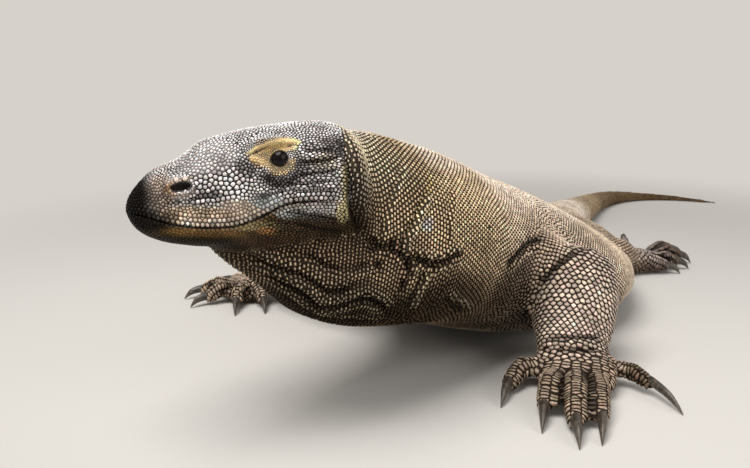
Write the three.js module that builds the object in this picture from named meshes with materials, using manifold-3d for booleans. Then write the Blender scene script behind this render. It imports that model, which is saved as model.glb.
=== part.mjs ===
// Komodo dragon at rest: belly on the ground, chest propped on the forelegs, head turned to its right
// and the tail laid in a long curve behind it. Millimetres, +Z up.
//
// Everything is modelled in the "stance frame", in which the head lies along -X, and the finished
// group is turned so that the trunk runs along +Y and its origin is the middle of its own footprint.
import * as THREE from "three";
import { mergeVertices } from "three/addons/utils/BufferGeometryUtils.js";
import Module from "manifold-3d";

const wasm = await Module();
wasm.setup();

// ---- driving dimensions --------------------------------------------------------------------------
const GAP = 0.5; // clearance between neighbouring solids
const SIMPLIFY = 0.22; // how far a face may move when slivers are taken away
const TRUNK_TURN = THREE.MathUtils.degToRad(20); // turns the trunk onto the Y axis
const FLOOR = 0; // every resting flat lies here
const WELD = 1e-3; // vertices closer than this are one
// Superellipse exponents of the sections: 2 is an ellipse, more is squarer. The trunk slopes like a
// tent above and spreads where it rests, so it has one for its upper half and one for its lower.
const SQUARENESS = { spine: [1.85, 2.7], head: 2.5, limb: 2.1, palm: 2.3, toe: 2.2, claw: 2 };

const HEAD_ORIGIN = new THREE.Vector3(-31, 710, 254); // right at the corner of the mouth, mid-plane
const HEAD_YAW = THREE.MathUtils.degToRad(194); // the snout points along -X and a little forward
const HEAD_PITCH = THREE.MathUtils.degToRad(-3);
const EYE_RADIUS = 10;
const EYE_PLACE = { forward: 72.5, side: 42, up: 46 };
const NOSTRIL_PLACE = { forward: 162, side: 41, up: 17.5 };
const NOSTRIL_RADII = [9, 7, 4.5];

const HIDE = { color: "#6f6559", roughness: 0.85, metalness: 0 };
const HORN = { color: "#3b332c", roughness: 0.45, metalness: 0 };
const EYE = { color: "#120d0a", roughness: 0.1, metalness: 0 };

// ---- solids --------------------------------------------------------------------------------------

// A closed three.js geometry, welded, as a manifold solid.
function solidOf(geometry) {
  const bare = geometry.clone();
  bare.deleteAttribute("normal");
  bare.deleteAttribute("uv");
  const welded = mergeVertices(bare, WELD);
  return new wasm.Manifold(
    new wasm.Mesh({
      numProp: 3,
      vertProperties: welded.attributes.position.array,
      triVerts: new Uint32Array(welded.index.array),
    }),
  );
}

// The same geometry with its surface moved out by the gap, for cutting its neighbours.
function grown(geometry, by = GAP) {
  const bare = geometry.clone();
  bare.deleteAttribute("normal");
  bare.deleteAttribute("uv");
  const welded = mergeVertices(bare, WELD);
  welded.computeVertexNormals();
  const place = welded.attributes.position;
  const normal = welded.attributes.normal;
  for (let i = 0; i < place.count; i++) {
    place.setXYZ(
      i,
      place.getX(i) + by * normal.getX(i),
      place.getY(i) + by * normal.getY(i),
      place.getZ(i) + by * normal.getZ(i),
    );
  }
  return solidOf(welded);
}

// A limb, trunk or claw: a closed cylinder whose rings follow a smooth path. Each station is
// [x, y, z, side, up, down], its centre and its half-width, height above and height below.
// `topSide` is the direction that the height is measured towards.
function loft(stations, rings, sides, topSide, squareness) {
  const path = new THREE.CatmullRomCurve3(
    stations.map((s) => new THREE.Vector3(s[0], s[1], s[2])),
    false,
    "centripetal",
  );
  const sizes = new THREE.CatmullRomCurve3(
    stations.map((s) => new THREE.Vector3(s[3], s[4], s[5])),
    false,
    "centripetal",
  );
  const geometry = new THREE.CylinderGeometry(1, 1, 1, sides, rings);
  const place = geometry.attributes.position;
  const [upper, lower] = [squareness].flat().length > 1 ? squareness : [squareness, squareness];
  const round = (v, exponent) => Math.sign(v) * Math.abs(v) ** (2 / exponent);
  const side = new THREE.Vector3();
  const up = new THREE.Vector3();
  for (let i = 0; i < place.count; i++) {
    const t = THREE.MathUtils.clamp(0.5 - place.getY(i), 0, 1);
    const centre = path.getPoint(t);
    const along = path.getTangent(t);
    const size = sizes.getPoint(t);
    side.crossVectors(topSide, along).normalize();
    up.crossVectors(along, side).normalize();
    const radius = Math.hypot(place.getX(i), place.getZ(i));
    const exponent = place.getZ(i) > 0 ? upper : lower;
    const across = radius < 1e-6 ? 0 : round(place.getX(i) / radius, exponent);
    const rise = radius < 1e-6 ? 0 : round(place.getZ(i) / radius, exponent);
    centre.addScaledVector(side, radius * across * size.x);
    centre.addScaledVector(up, radius * rise * (rise > 0 ? size.y : size.z));
    place.setXYZ(i, centre.x, centre.y, centre.z);
  }
  return facingOut(geometry);
}

// Reverses the faces where the mapping has turned the surface inside out.
function facingOut(geometry) {
  if (solidOf(geometry).volume() > 0) return geometry;
  const index = geometry.index.array;
  for (let i = 0; i < index.length; i += 3) {
    const first = index[i];
    index[i] = index[i + 1];
    index[i + 1] = first;
  }
  return geometry;
}

function ellipsoid(centre, radii, matrix, detail) {
  const geometry = new THREE.SphereGeometry(1, detail, Math.round(detail * 0.7));
  geometry.scale(...radii);
  geometry.translate(...centre);
  return geometry.applyMatrix4(matrix);
}

const onFloor = (solid) => solid.trimByPlane([0, 0, 1], FLOOR);
const Z_UP = new THREE.Vector3(0, 0, 1);

// ---- trunk, neck and tail ------------------------------------------------------------------------

// One line from inside the head to the tip of the tail.
const SPINE = [
  [-166, 700, 208, 14, 8, 8],
  [-154, 702, 208, 34, 22, 18],
  [-136, 708, 210, 52, 40, 38],
  [-110, 718, 214, 70, 70, 76],
  [-76, 734, 216, 84, 97, 94],
  [-38, 758, 212, 92, 113, 105],
  [4, 796, 202, 97, 110, 107],
  [44, 848, 186, 105, 109, 107],
  [84, 920, 162, 124, 107, 112],
  [132, 1008, 118, 158, 123, 108],
  [208, 1108, 72, 200, 119, 72],
  [272, 1226, 58, 186, 73, 58],
  [320, 1345, 54, 146, 58, 56],
  [360, 1445, 56, 102, 61, 58],
  [404, 1545, 50, 68, 52, 51],
  [474, 1690, 42, 50, 42, 43],
  [552, 1835, 34, 36, 34, 35],
  [658, 2010, 25, 23, 25, 26],
  [752, 2104, 18, 15, 18, 19],
  [842, 2140, 12, 10, 12, 13],
  [930, 2132, 8.5, 7, 8.5, 9.5],
  [1030, 2084, 3.5, 3, 3.5, 4.5],
];
const SPINE_RINGS = 42;
const SPINE_SIDES = 16;
// Flat cuts across that line: a point on it and the way it runs there.
const NECK_TO_TRUNK = { at: [64, 882, 174], along: [0.4, 0.9, -0.15] };
const TRUNK_TO_TAIL = { at: [384, 1502, 52], along: [0.37, 0.93, 0] };
const TAIL_CUTS = [
  { at: [488, 1716, 40], along: [0.45, 0.89, 0] },
  { at: [618, 1945, 28], along: [0.54, 0.84, 0] },
  { at: [800, 2128, 14], along: [0.92, 0.39, 0] },
];

// ---- head ----------------------------------------------------------------------------------------

// In the head's own frame: +X to the snout, +Y to its left, +Z up, from the corner of the mouth.
const HEAD_PROFILE = [
  [-16, 0, 6, 50, 58, 34],
  [0, 0, 5, 57, 72, 40],
  [27, 0, 3, 60, 79.5, 45],
  [54, 0, 0, 58, 79, 48],
  [80, 0, -6, 53, 80.5, 44],
  [104, 0, -12, 47.5, 80, 37],
  [128, 0, -16, 43.5, 76.5, 31],
  [146, 0, -17, 41.5, 71.5, 29],
  [166, 0, -16, 38.5, 57, 28],
  [184, 0, -14, 33.5, 50, 26],
  [198, 0, -12, 26, 40, 21],
  [208, 0, -10, 17, 26, 13],
  [214.5, 0, -9, 5, 8, 5],
];
const HEAD_RINGS = 18;
const HEAD_SIDES = 18;
const FEATURE_DETAIL = 7;
const EYE_DETAIL = 10;
// The lip line, from in front of the snout to behind the corner of the mouth.
const LIP_LINE = [
  [230, -9],
  [200, -12],
  [172, -17],
  [140, -20],
  [112, -17.5],
  [94, -10],
  [78, -1],
  [62, 6.5],
  [40, 9],
  [10, 9],
  [-30, 8],
];
const LIP_GAP = 0.8;
const LIP_STEPS = 13;
const LIP_WIDTH = 240; // more than the head's own width

const headFrame = new THREE.Matrix4()
  .makeTranslation(HEAD_ORIGIN)
  .multiply(new THREE.Matrix4().makeRotationZ(HEAD_YAW))
  .multiply(new THREE.Matrix4().makeRotationY(HEAD_PITCH));

function headGeometry() {
  const bare = loft(HEAD_PROFILE, HEAD_RINGS, HEAD_SIDES, Z_UP, SQUARENESS.head);
  return bare.applyMatrix4(headFrame);
}

// A thin wall along the lip line, right across the head, that parts the jaw from the skull.
function lipCut() {
  const line = new THREE.SplineCurve(LIP_LINE.map((p) => new THREE.Vector2(...p)));
  const top = line.getPoints(LIP_STEPS);
  const bottom = top.map((p) => new THREE.Vector2(p.x, p.y - LIP_GAP)).reverse();
  const wall = new THREE.ExtrudeGeometry(new THREE.Shape([...top, ...bottom]), {
    depth: LIP_WIDTH,
    bevelEnabled: false,
  });
  wall.translate(0, 0, -LIP_WIDTH / 2);
  wall.rotateX(Math.PI / 2);
  return solidOf(wall.applyMatrix4(headFrame));
}

// The orbital ridge over each eye, the bulge of the jaw muscle, and the swelling round each nostril.
function headFeatures(sign) {
  return [
    ellipsoid([77, sign * 41.5, 60.5], [28, 9, 5.5], headFrame, FEATURE_DETAIL),
    ellipsoid([18, sign * 47, 26], [34, 15, 34], headFrame, FEATURE_DETAIL),
    ellipsoid([164, sign * 33, 17], [20, 9, 12], headFrame, FEATURE_DETAIL),
  ];
}

function eyeGeometry(sign) {
  const { forward, side, up } = EYE_PLACE;
  return ellipsoid([forward, sign * side, up], [EYE_RADIUS, EYE_RADIUS, EYE_RADIUS], headFrame, EYE_DETAIL);
}

function nostril(sign) {
  const { forward, side, up } = NOSTRIL_PLACE;
  return solidOf(ellipsoid([forward, sign * side, up], NOSTRIL_RADII, headFrame, FEATURE_DETAIL));
}

// ---- legs ----------------------------------------------------------------------------------------

// Each leg: two long segments, a palm and five toes. A toe is [base, knuckle, end, claw tip, radius].
const LEGS = {
  fore_left: {
    upper: [
      [105, 945, 165, 40, 40, 40],
      [150, 935, 156, 60, 58, 60],
      [200, 925, 138, 58, 54, 58],
      [240, 918, 121, 54, 46, 54],
      [268, 912, 111, 44, 38, 44],
      [288, 910, 107, 16, 15, 16],
    ],
    lower: [
      [284, 925, 148, 14, 14, 14],
      [281, 918, 136, 43, 38, 40],
      [273, 903, 114, 56, 48, 50],
      [262, 878, 84, 58, 47, 48],
      [254, 852, 58, 54, 36, 40],
      [250, 830, 40, 49, 26, 32],
      [249, 814, 30, 22, 12, 12],
    ],
    palm: [
      [262, 848, 34, 20, 16, 16],
      [258, 832, 30, 42, 24, 32],
      [250, 806, 22, 50, 20, 24],
      [243, 782, 16, 46, 15, 18],
      [238, 764, 12, 20, 8, 10],
    ],
    toes: [
      [[216, 826, 20], [184, 818, 27], [163, 792, 14], [147, 752, 1], 13],
      [[222, 802, 22], [204, 768, 29], [192, 733, 14], [181, 692, 1], 12],
      [[246, 796, 24], [230, 742, 31], [218, 697, 14], [212, 658, 1], 14],
      [[270, 800, 22], [260, 748, 28], [250, 706, 13], [238, 666, 1], 12],
      [[292, 828, 20], [318, 808, 25], [334, 786, 17], [352, 734, 1], 11],
    ],
  },
  fore_right: {
    upper: [
      [35, 985, 165, 40, 40, 40],
      [2, 1000, 160, 56, 58, 58],
      [-38, 1020, 146, 53, 52, 54],
      [-76, 1042, 126, 49, 44, 50],
      [-98, 1054, 114, 38, 36, 40],
      [-112, 1062, 110, 15, 14, 15],
    ],
    lower: [
      [-88, 1044, 142, 14, 14, 14],
      [-96, 1056, 130, 38, 36, 38],
      [-114, 1082, 108, 46, 42, 46],
      [-140, 1118, 80, 43, 38, 42],
      [-166, 1148, 54, 37, 27, 32],
      [-186, 1164, 38, 32, 20, 25],
      [-198, 1172, 30, 16, 10, 10],
    ],
    palm: [
      [-184, 1160, 34, 18, 14, 14],
      [-198, 1166, 30, 38, 20, 31],
      [-222, 1168, 22, 46, 18, 24],
      [-244, 1166, 16, 42, 14, 18],
      [-262, 1164, 12, 18, 8, 10],
    ],
    toes: [
      [[-202, 1146, 20], [-192, 1128, 26], [-186, 1112, 14], [-179, 1082, 1], 12],
      [[-222, 1142, 22], [-228, 1122, 30], [-229, 1104, 16], [-226, 1072, 1], 12],
      [[-238, 1156, 22], [-262, 1140, 30], [-284, 1130, 14], [-308, 1112, 1], 13],
      [[-242, 1172, 22], [-274, 1174, 29], [-302, 1172, 14], [-330, 1158, 1], 12],
      [[-222, 1190, 20], [-242, 1212, 25], [-262, 1226, 16], [-294, 1240, 1], 11],
    ],
  },
  hind_left: {
    upper: [
      [338, 1425, 64, 40, 38, 42],
      [372, 1402, 66, 56, 46, 60],
      [408, 1368, 62, 54, 42, 58],
      [434, 1332, 54, 46, 34, 50],
      [448, 1308, 48, 36, 28, 40],
      [456, 1296, 46, 14, 12, 14],
    ],
    lower: [
      [446, 1288, 56, 12, 12, 13],
      [452, 1296, 50, 30, 28, 36],
      [468, 1306, 42, 34, 31, 38],
      [482, 1316, 34, 34, 28, 35],
      [494, 1328, 28, 32, 24, 30],
      [500, 1340, 24, 14, 12, 12],
    ],
    palm: [
      [482, 1318, 28, 18, 16, 16],
      [498, 1328, 27, 34, 24, 30],
      [524, 1344, 22, 44, 24, 24],
      [550, 1360, 17, 46, 20, 19],
      [570, 1372, 12, 22, 9, 10],
    ],
    toes: [
      [[524, 1322, 20], [548, 1316, 28], [570, 1320, 16], [596, 1318, 1], 12],
      [[542, 1340, 22], [574, 1342, 32], [600, 1350, 18], [628, 1352, 1], 13],
      [[552, 1360, 23], [592, 1374, 35], [622, 1390, 21], [652, 1398, 1], 13],
      [[546, 1378, 22], [590, 1408, 37], [624, 1432, 22], [656, 1444, 1], 13],
      [[506, 1360, 22], [512, 1392, 38], [518, 1422, 49], [524, 1444, 38], 11],
    ],
  },
  hind_right: {
    upper: [
      [350, 1440, 72, 40, 38, 42],
      [306, 1452, 74, 56, 50, 64],
      [262, 1452, 70, 54, 46, 60],
      [222, 1438, 60, 46, 38, 54],
      [200, 1428, 54, 38, 32, 42],
      [188, 1422, 52, 14, 13, 14],
    ],
    lower: [
      [184, 1412, 64, 13, 13, 13],
      [186, 1424, 56, 32, 30, 38],
      [182, 1450, 46, 35, 33, 40],
      [174, 1474, 36, 33, 28, 36],
      [166, 1492, 28, 31, 24, 30],
      [160, 1502, 24, 14, 12, 12],
    ],
    palm: [
      [178, 1490, 30, 18, 16, 16],
      [162, 1484, 28, 33, 24, 30],
      [136, 1468, 22, 42, 20, 24],
      [112, 1452, 17, 44, 16, 19],
      [94, 1442, 12, 20, 8, 10],
    ],
    toes: [
      [[144, 1450, 20], [132, 1424, 26], [122, 1404, 14], [110, 1376, 1], 12],
      [[124, 1444, 21], [98, 1414, 28], [80, 1392, 14], [62, 1364, 1], 13],
      [[112, 1454, 22], [76, 1430, 29], [50, 1412, 14], [20, 1396, 1], 13],
      [[110, 1472, 21], [66, 1466, 28], [34, 1460, 14], [2, 1448, 1], 13],
      [[146, 1496, 20], [130, 1520, 24], [114, 1536, 15], [88, 1552, 1], 11],
    ],
  },
};
const SHIN_FRONT = new THREE.Vector3(0.3, -0.9, 0.6); // where the front of a steep lower leg faces
const LIMB_RINGS = 6;
const LIMB_SIDES = 10;
const PALM_RINGS = 4;
const TOE_RINGS = 5;
const TOE_SIDES = 6;
const CLAW_RINGS = 3;
const CLAW_SIDES = 5;
const CLAW_GAP = 0.8; // a horn stands this far clear of the toe it grows from

// A toe rises from the palm, bends over its knuckle and sets its pad on the ground.
function toeGeometry([base, knuckle, end, , radius]) {
  const stations = [
    [...base, 0.55 * radius, 0.5 * radius, 0.5 * radius],
    [...mix(base, knuckle, 0.45), 1.02 * radius, 0.95 * radius, 1.3 * radius],
    [...knuckle, 1.04 * radius, 0.9 * radius, 1.6 * radius],
    [...mix(knuckle, end, 0.6), 1.0 * radius, 0.9 * radius, 1.3 * radius],
    [...end, 0.84 * radius, 0.72 * radius, 1.15 * radius],
    [...beyond(knuckle, end, 0.3), 0.3 * radius, 0.25 * radius, 0.3 * radius],
  ];
  return loft(stations, TOE_RINGS, TOE_SIDES, Z_UP, SQUARENESS.toe);
}

// A curved horn: it leaves the toe nearly level, arches and comes down to the ground at its tip.
function clawGeometry([, knuckle, end, tip, radius]) {
  const root = mix(knuckle, end, 0.9);
  const arch = mix(end, tip, 0.5);
  const stations = [
    [root[0], root[1], root[2] + 1, 0.38 * radius, 0.4 * radius, 0.4 * radius],
    [end[0], end[1], end[2] + 2, 0.54 * radius, 0.54 * radius, 0.58 * radius],
    [arch[0], arch[1], arch[2] + 6, 0.42 * radius, 0.46 * radius, 0.52 * radius],
    [...mix(arch, tip, 0.6).map((v, i) => (i === 2 ? v + 4 : v)), 2.7, 3.1, 3.4],
    [tip[0], tip[1], tip[2], 0.6, 0.6, 0.6],
  ];
  return loft(stations, CLAW_RINGS, CLAW_SIDES, Z_UP, SQUARENESS.claw);
}

function mix(a, b, t) {
  return a.map((v, i) => v + t * (b[i] - v));
}

// A point past b, level with it, on the way from a to b.
function beyond(a, b, t) {
  return [b[0] + t * (b[0] - a[0]), b[1] + t * (b[1] - a[1]), b[2] - 1];
}

// ---- assembly ------------------------------------------------------------------------------------

const dragon = new THREE.Group();
dragon.rotation.z = TRUNK_TURN;

function addPiece(name, solid, look) {
  const cut = solid.simplify(SIMPLIFY).getMesh();
  const geometry = new THREE.BufferGeometry();
  const places = new Float32Array(cut.numVert * 3);
  for (let i = 0; i < cut.numVert; i++) {
    const first = i * cut.numProp;
    places.set(cut.vertProperties.subarray(first, first + 3), i * 3);
  }
  geometry.setAttribute("position", new THREE.BufferAttribute(places, 3));
  geometry.setIndex(new THREE.BufferAttribute(cut.triVerts, 1));
  const mesh = new THREE.Mesh(geometry, new THREE.MeshStandardMaterial(look));
  mesh.name = name;
  dragon.add(mesh);
}

// The largest of the bodies that a cut leaves.
function largest(solid) {
  return solid.decompose().reduce((a, b) => (b.volume() > a.volume() ? b : a));
}

// The part of a solid behind and ahead of a flat cut, each held back by half the gap.
function partAt(solid, { at, along }) {
  const way = new THREE.Vector3(...along).normalize();
  const offset = way.dot(new THREE.Vector3(...at));
  const ahead = solid.trimByPlane([way.x, way.y, way.z], offset + GAP / 2);
  const behind = solid.trimByPlane([-way.x, -way.y, -way.z], -offset + GAP / 2);
  return { behind, ahead };
}

// Head: skull with orbital ridges, and the jaw below the lip line.
const headBare = headGeometry();
const features = [...headFeatures(1), ...headFeatures(-1)];
let wholeHead = solidOf(headBare);
features.forEach((f) => (wholeHead = wholeHead.add(solidOf(f))));
const slit = wholeHead.subtract(lipCut());
const [skull, jaw] = slit
  .decompose()
  .sort((a, b) => b.volume() - a.volume())
  .slice(0, 2);
let face = skull;
[1, -1].forEach((sign) => {
  face = face.subtract(grown(eyeGeometry(sign))).subtract(nostril(sign));
});
addPiece("head", largest(face), HIDE);
addPiece("lower_jaw", largest(jaw), HIDE);
addPiece("eye_left", solidOf(eyeGeometry(1)), EYE);
addPiece("eye_right", solidOf(eyeGeometry(-1)), EYE);

// Neck, trunk and tail along one line, with the neck let in around the head.
const spineBare = loft(SPINE, SPINE_RINGS, SPINE_SIDES, Z_UP, SQUARENESS.spine);
let column = onFloor(solidOf(spineBare)).subtract(grown(headBare));
features.forEach((f) => (column = column.subtract(grown(f))));
column = largest(column);
const neckCut = partAt(column, NECK_TO_TRUNK);
addPiece("neck", largest(neckCut.behind), HIDE);
let rest = partAt(neckCut.ahead, TRUNK_TO_TAIL);
addPiece("trunk", largest(rest.behind), HIDE);
TAIL_CUTS.forEach((cut, i) => {
  rest = partAt(rest.ahead, cut);
  addPiece("tail_" + (i + 1), largest(rest.behind), HIDE);
});
addPiece("tail_" + (TAIL_CUTS.length + 1), largest(rest.ahead), HIDE);

// Legs, each let in around the piece above it.
const SEGMENT_NAMES = {
  fore: ["upper_arm", "forearm", "forefoot"],
  hind: ["thigh", "shin", "hindfoot"],
};
const spineGrown = grown(spineBare);
for (const [leg, parts] of Object.entries(LEGS)) {
  const [pair, side] = leg.split("_");
  const [upperName, lowerName, footName] = SEGMENT_NAMES[pair];
  const upperBare = loft(parts.upper, LIMB_RINGS, LIMB_SIDES, Z_UP, SQUARENESS.limb);
  const lowerBare = loft(parts.lower, LIMB_RINGS, LIMB_SIDES, SHIN_FRONT, SQUARENESS.limb);
  const palmBare = loft(parts.palm, PALM_RINGS, LIMB_SIDES, Z_UP, SQUARENESS.palm);
  const upper = solidOf(upperBare).subtract(spineGrown);
  const lower = solidOf(lowerBare).subtract(spineGrown).subtract(grown(upperBare));
  let foot = solidOf(palmBare);
  const toes = parts.toes.map(toeGeometry);
  toes.forEach((toe) => (foot = foot.add(solidOf(toe))));
  foot = foot.subtract(grown(lowerBare)).subtract(grown(upperBare)).subtract(spineGrown);
  addPiece(upperName + "_" + side, largest(onFloor(upper)), HIDE);
  addPiece(lowerName + "_" + side, largest(onFloor(lower)), HIDE);
  addPiece(footName + "_" + side, largest(onFloor(foot)), HIDE);
  parts.toes.forEach((toe, i) => {
    let claw = solidOf(clawGeometry(toe)).subtract(grown(palmBare));
    toes.forEach((other) => (claw = claw.subtract(grown(other, CLAW_GAP))));
    addPiece(["claw", pair, side, i + 1].join("_"), largest(onFloor(claw)), HORN);
  });
}

// The origin is the middle of the footprint, on the floor.
dragon.updateMatrixWorld(true);
const box = new THREE.Box3().setFromObject(dragon, true);
dragon.position.set(-(box.min.x + box.max.x) / 2, -(box.min.y + box.max.y) / 2, -box.min.z);

export default dragon;
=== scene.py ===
import math
from contextlib import contextmanager
from functools import lru_cache
from itertools import product

import bmesh
import bpy
import numpy as np
from mathutils import Matrix, Vector
from mathutils.bvhtree import BVHTree
from mathutils.kdtree import KDTree


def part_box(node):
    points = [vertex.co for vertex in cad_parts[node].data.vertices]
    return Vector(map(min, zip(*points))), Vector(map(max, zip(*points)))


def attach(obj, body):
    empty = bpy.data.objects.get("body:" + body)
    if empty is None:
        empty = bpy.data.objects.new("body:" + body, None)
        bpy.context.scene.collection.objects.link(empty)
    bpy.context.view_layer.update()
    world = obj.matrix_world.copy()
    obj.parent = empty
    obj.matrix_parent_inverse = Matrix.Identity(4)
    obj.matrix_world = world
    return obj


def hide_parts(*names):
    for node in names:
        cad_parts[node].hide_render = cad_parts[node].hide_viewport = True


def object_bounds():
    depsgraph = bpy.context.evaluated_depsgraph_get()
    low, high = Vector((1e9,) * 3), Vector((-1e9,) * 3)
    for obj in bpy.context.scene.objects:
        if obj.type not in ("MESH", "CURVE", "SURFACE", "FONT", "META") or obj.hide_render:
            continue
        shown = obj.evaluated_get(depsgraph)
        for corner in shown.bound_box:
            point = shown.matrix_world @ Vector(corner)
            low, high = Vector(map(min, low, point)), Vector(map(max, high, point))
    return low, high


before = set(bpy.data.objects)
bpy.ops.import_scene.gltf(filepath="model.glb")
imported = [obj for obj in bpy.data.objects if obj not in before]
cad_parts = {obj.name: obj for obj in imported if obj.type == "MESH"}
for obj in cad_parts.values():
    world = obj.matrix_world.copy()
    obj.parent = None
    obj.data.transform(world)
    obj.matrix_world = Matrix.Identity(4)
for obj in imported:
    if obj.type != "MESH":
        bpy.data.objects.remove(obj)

bl_info = {
    "name": "Komodo Dragon",
    "version": (1, 0, 0),
    "blender": (4, 5, 0),
    "location": "3D View > Sidebar > Komodo",
    "description": "Skin, scales, eyes and claws for a Komodo dragon lying at rest",
    "category": "Add Mesh",
}

CAD_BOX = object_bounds()
MM = 0.001

# ---- the body's own frames ------------------------------------------------------------------------
# Places are in millimetres, in one of two frames. In the stance frame the head lies along -X and the
# floor is z = 0; turned by STANCE_TURN, its trunk runs along the object's Y axis. In the head frame
# +X runs to the snout, +Y to the animal's left and +Z up, from between the corners of the mouth.

STANCE_TURN = math.radians(20)
HEAD_ORIGIN = (-31, 710, 254)
HEAD_YAW = math.radians(194)
HEAD_PITCH = math.radians(-3)
EYE_PLACE = np.array((72.5, 42, 46))
NOSTRIL_PLACE = np.array((162, 41, 17.5))


def head_in_stance():
    place = Matrix.Translation(Vector(HEAD_ORIGIN) * MM)
    return place @ Matrix.Rotation(HEAD_YAW, 4, "Z") @ Matrix.Rotation(HEAD_PITCH, 4, "Y")


def stance_in_object():
    """The stance frame in the object's, found from where the left eye is."""
    turn = Matrix.Rotation(STANCE_TURN, 4, "Z")
    low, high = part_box("eye_left")
    here = turn @ head_in_stance() @ (Vector(EYE_PLACE) * MM)
    return Matrix.Translation((low + high) / 2 - here) @ turn


STANCE = stance_in_object()
HEAD = STANCE @ head_in_stance()


def into(matrix, points):
    """Points in the object's metres as millimetres in another frame."""
    back = np.array(matrix.inverted())
    return (np.asarray(points) @ back[:3, :3].T + back[:3, 3]) / MM


def out_of(matrix, points):
    """The way back: millimetres in a frame as the object's metres."""
    there = np.array(matrix)
    return (np.asarray(points, float) * MM) @ there[:3, :3].T + there[:3, 3]


def to_head(points):
    """Places of the stance frame in the head frame."""
    return into(HEAD, out_of(STANCE, points))


def turned(matrix, directions):
    return np.asarray(directions, float) @ np.array(matrix)[:3, :3].T


# Centre lines, in the stance frame: the spine from inside the head to the tip of the tail, and each
# leg's upper length, lower length and palm, with its toes as base, knuckle, end and claw tip.
SPINE_LINE = [(-166, 700, 208), (-110, 718, 214), (-38, 758, 212), (4, 796, 202), (44, 848, 186),
              (84, 920, 162), (132, 1008, 120), (204, 1108, 88), (264, 1226, 78), (316, 1345, 66),
              (360, 1445, 57), (404, 1545, 50), (474, 1690, 42), (552, 1835, 34), (658, 2010, 25),
              (752, 2104, 18), (842, 2140, 12), (930, 2132, 8.5), (1026, 2086, 4)]
HEAD_LINE = [(-20, 0, 16), (30, 0, 16), (80, 0, 12), (128, 0, 5), (170, 0, -3), (206, 0, -9)]
LEGS = {
    "fore_left": {
        "upper": [(105, 945, 165), (200, 925, 138), (262, 913, 113)],
        "lower": [(283, 921, 142), (273, 903, 114), (262, 878, 84), (254, 852, 58), (250, 828, 38)],
        "palm": [(260, 842, 33), (250, 806, 22), (240, 770, 13)],
        "toes": [
            [(216, 826, 20), (184, 818, 27), (163, 792, 14), (147, 752, 1)],
            [(222, 802, 22), (204, 768, 29), (192, 733, 14), (181, 692, 1)],
            [(246, 796, 24), (230, 742, 31), (218, 697, 14), (212, 658, 1)],
            [(270, 800, 22), (260, 748, 28), (250, 706, 13), (238, 666, 1)],
            [(292, 828, 20), (318, 808, 25), (334, 786, 17), (352, 734, 1)],
        ],
    },
    "fore_right": {
        "upper": [(35, 985, 165), (-38, 1020, 146), (-94, 1052, 117)],
        "lower": [(-92, 1050, 137), (-114, 1082, 108), (-140, 1118, 80), (-166, 1148, 54),
                  (-188, 1165, 37)],
        "palm": [(-190, 1163, 33), (-222, 1168, 22), (-254, 1165, 14)],
        "toes": [
            [(-202, 1146, 20), (-192, 1128, 26), (-186, 1112, 14), (-179, 1082, 1)],
            [(-222, 1142, 22), (-228, 1122, 30), (-229, 1104, 16), (-226, 1072, 1)],
            [(-238, 1156, 22), (-262, 1140, 30), (-284, 1130, 14), (-308, 1112, 1)],
            [(-242, 1172, 22), (-274, 1174, 29), (-302, 1172, 14), (-330, 1158, 1)],
            [(-222, 1190, 20), (-242, 1212, 25), (-262, 1226, 16), (-294, 1240, 1)],
        ],
    },
    "hind_left": {
        "upper": [(338, 1425, 64), (372, 1402, 66), (408, 1368, 62), (446, 1312, 49)],
        "lower": [(448, 1291, 54), (468, 1306, 42), (482, 1316, 34), (497, 1333, 26)],
        "palm": [(488, 1322, 28), (524, 1344, 22), (562, 1367, 14)],
        "toes": [
            [(524, 1322, 20), (548, 1316, 28), (570, 1320, 16), (596, 1318, 1)],
            [(542, 1340, 22), (574, 1342, 32), (600, 1350, 18), (628, 1352, 1)],
            [(552, 1360, 23), (592, 1374, 35), (622, 1390, 21), (652, 1398, 1)],
            [(546, 1378, 22), (590, 1408, 37), (624, 1432, 22), (656, 1444, 1)],
            [(506, 1360, 22), (512, 1392, 38), (518, 1422, 49), (524, 1444, 38)],
        ],
    },
    "hind_right": {
        "upper": [(350, 1440, 72), (306, 1452, 74), (262, 1452, 70), (202, 1429, 54)],
        "lower": [(185, 1418, 60), (182, 1450, 46), (174, 1474, 36), (163, 1497, 26)],
        "palm": [(172, 1488, 29), (136, 1468, 22), (100, 1445, 14)],
        "toes": [
            [(144, 1450, 20), (132, 1424, 26), (122, 1404, 14), (110, 1376, 1)],
            [(124, 1444, 21), (98, 1414, 28), (80, 1392, 14), (62, 1364, 1)],
            [(112, 1454, 22), (76, 1430, 29), (50, 1412, 14), (20, 1396, 1)],
            [(110, 1472, 21), (66, 1466, 28), (34, 1460, 14), (2, 1448, 1)],
            [(146, 1496, 20), (130, 1520, 24), (114, 1536, 15), (88, 1552, 1)],
        ],
    },
}
LEG_PARTS = {"fore": ("upper_arm", "forearm", "forefoot"), "hind": ("thigh", "shin", "hindfoot")}
HEAD_NODES = ["head", "lower_jaw"]
SPINE_NODES = ["neck", "trunk", "tail_1", "tail_2", "tail_3", "tail_4"]


def nodes_of_leg(leg):
    pair, side = leg.split("_")
    return [f"{part}_{side}" for part in LEG_PARTS[pair]]


FLESH = HEAD_NODES + SPINE_NODES + [node for leg in LEGS for node in nodes_of_leg(leg)]
FEET = [name for name in FLESH if "foot" in name]
EYE_NODES = ["eye_left", "eye_right"]


# ---- lines, meshes and smoothing ------------------------------------------------------------------

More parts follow.
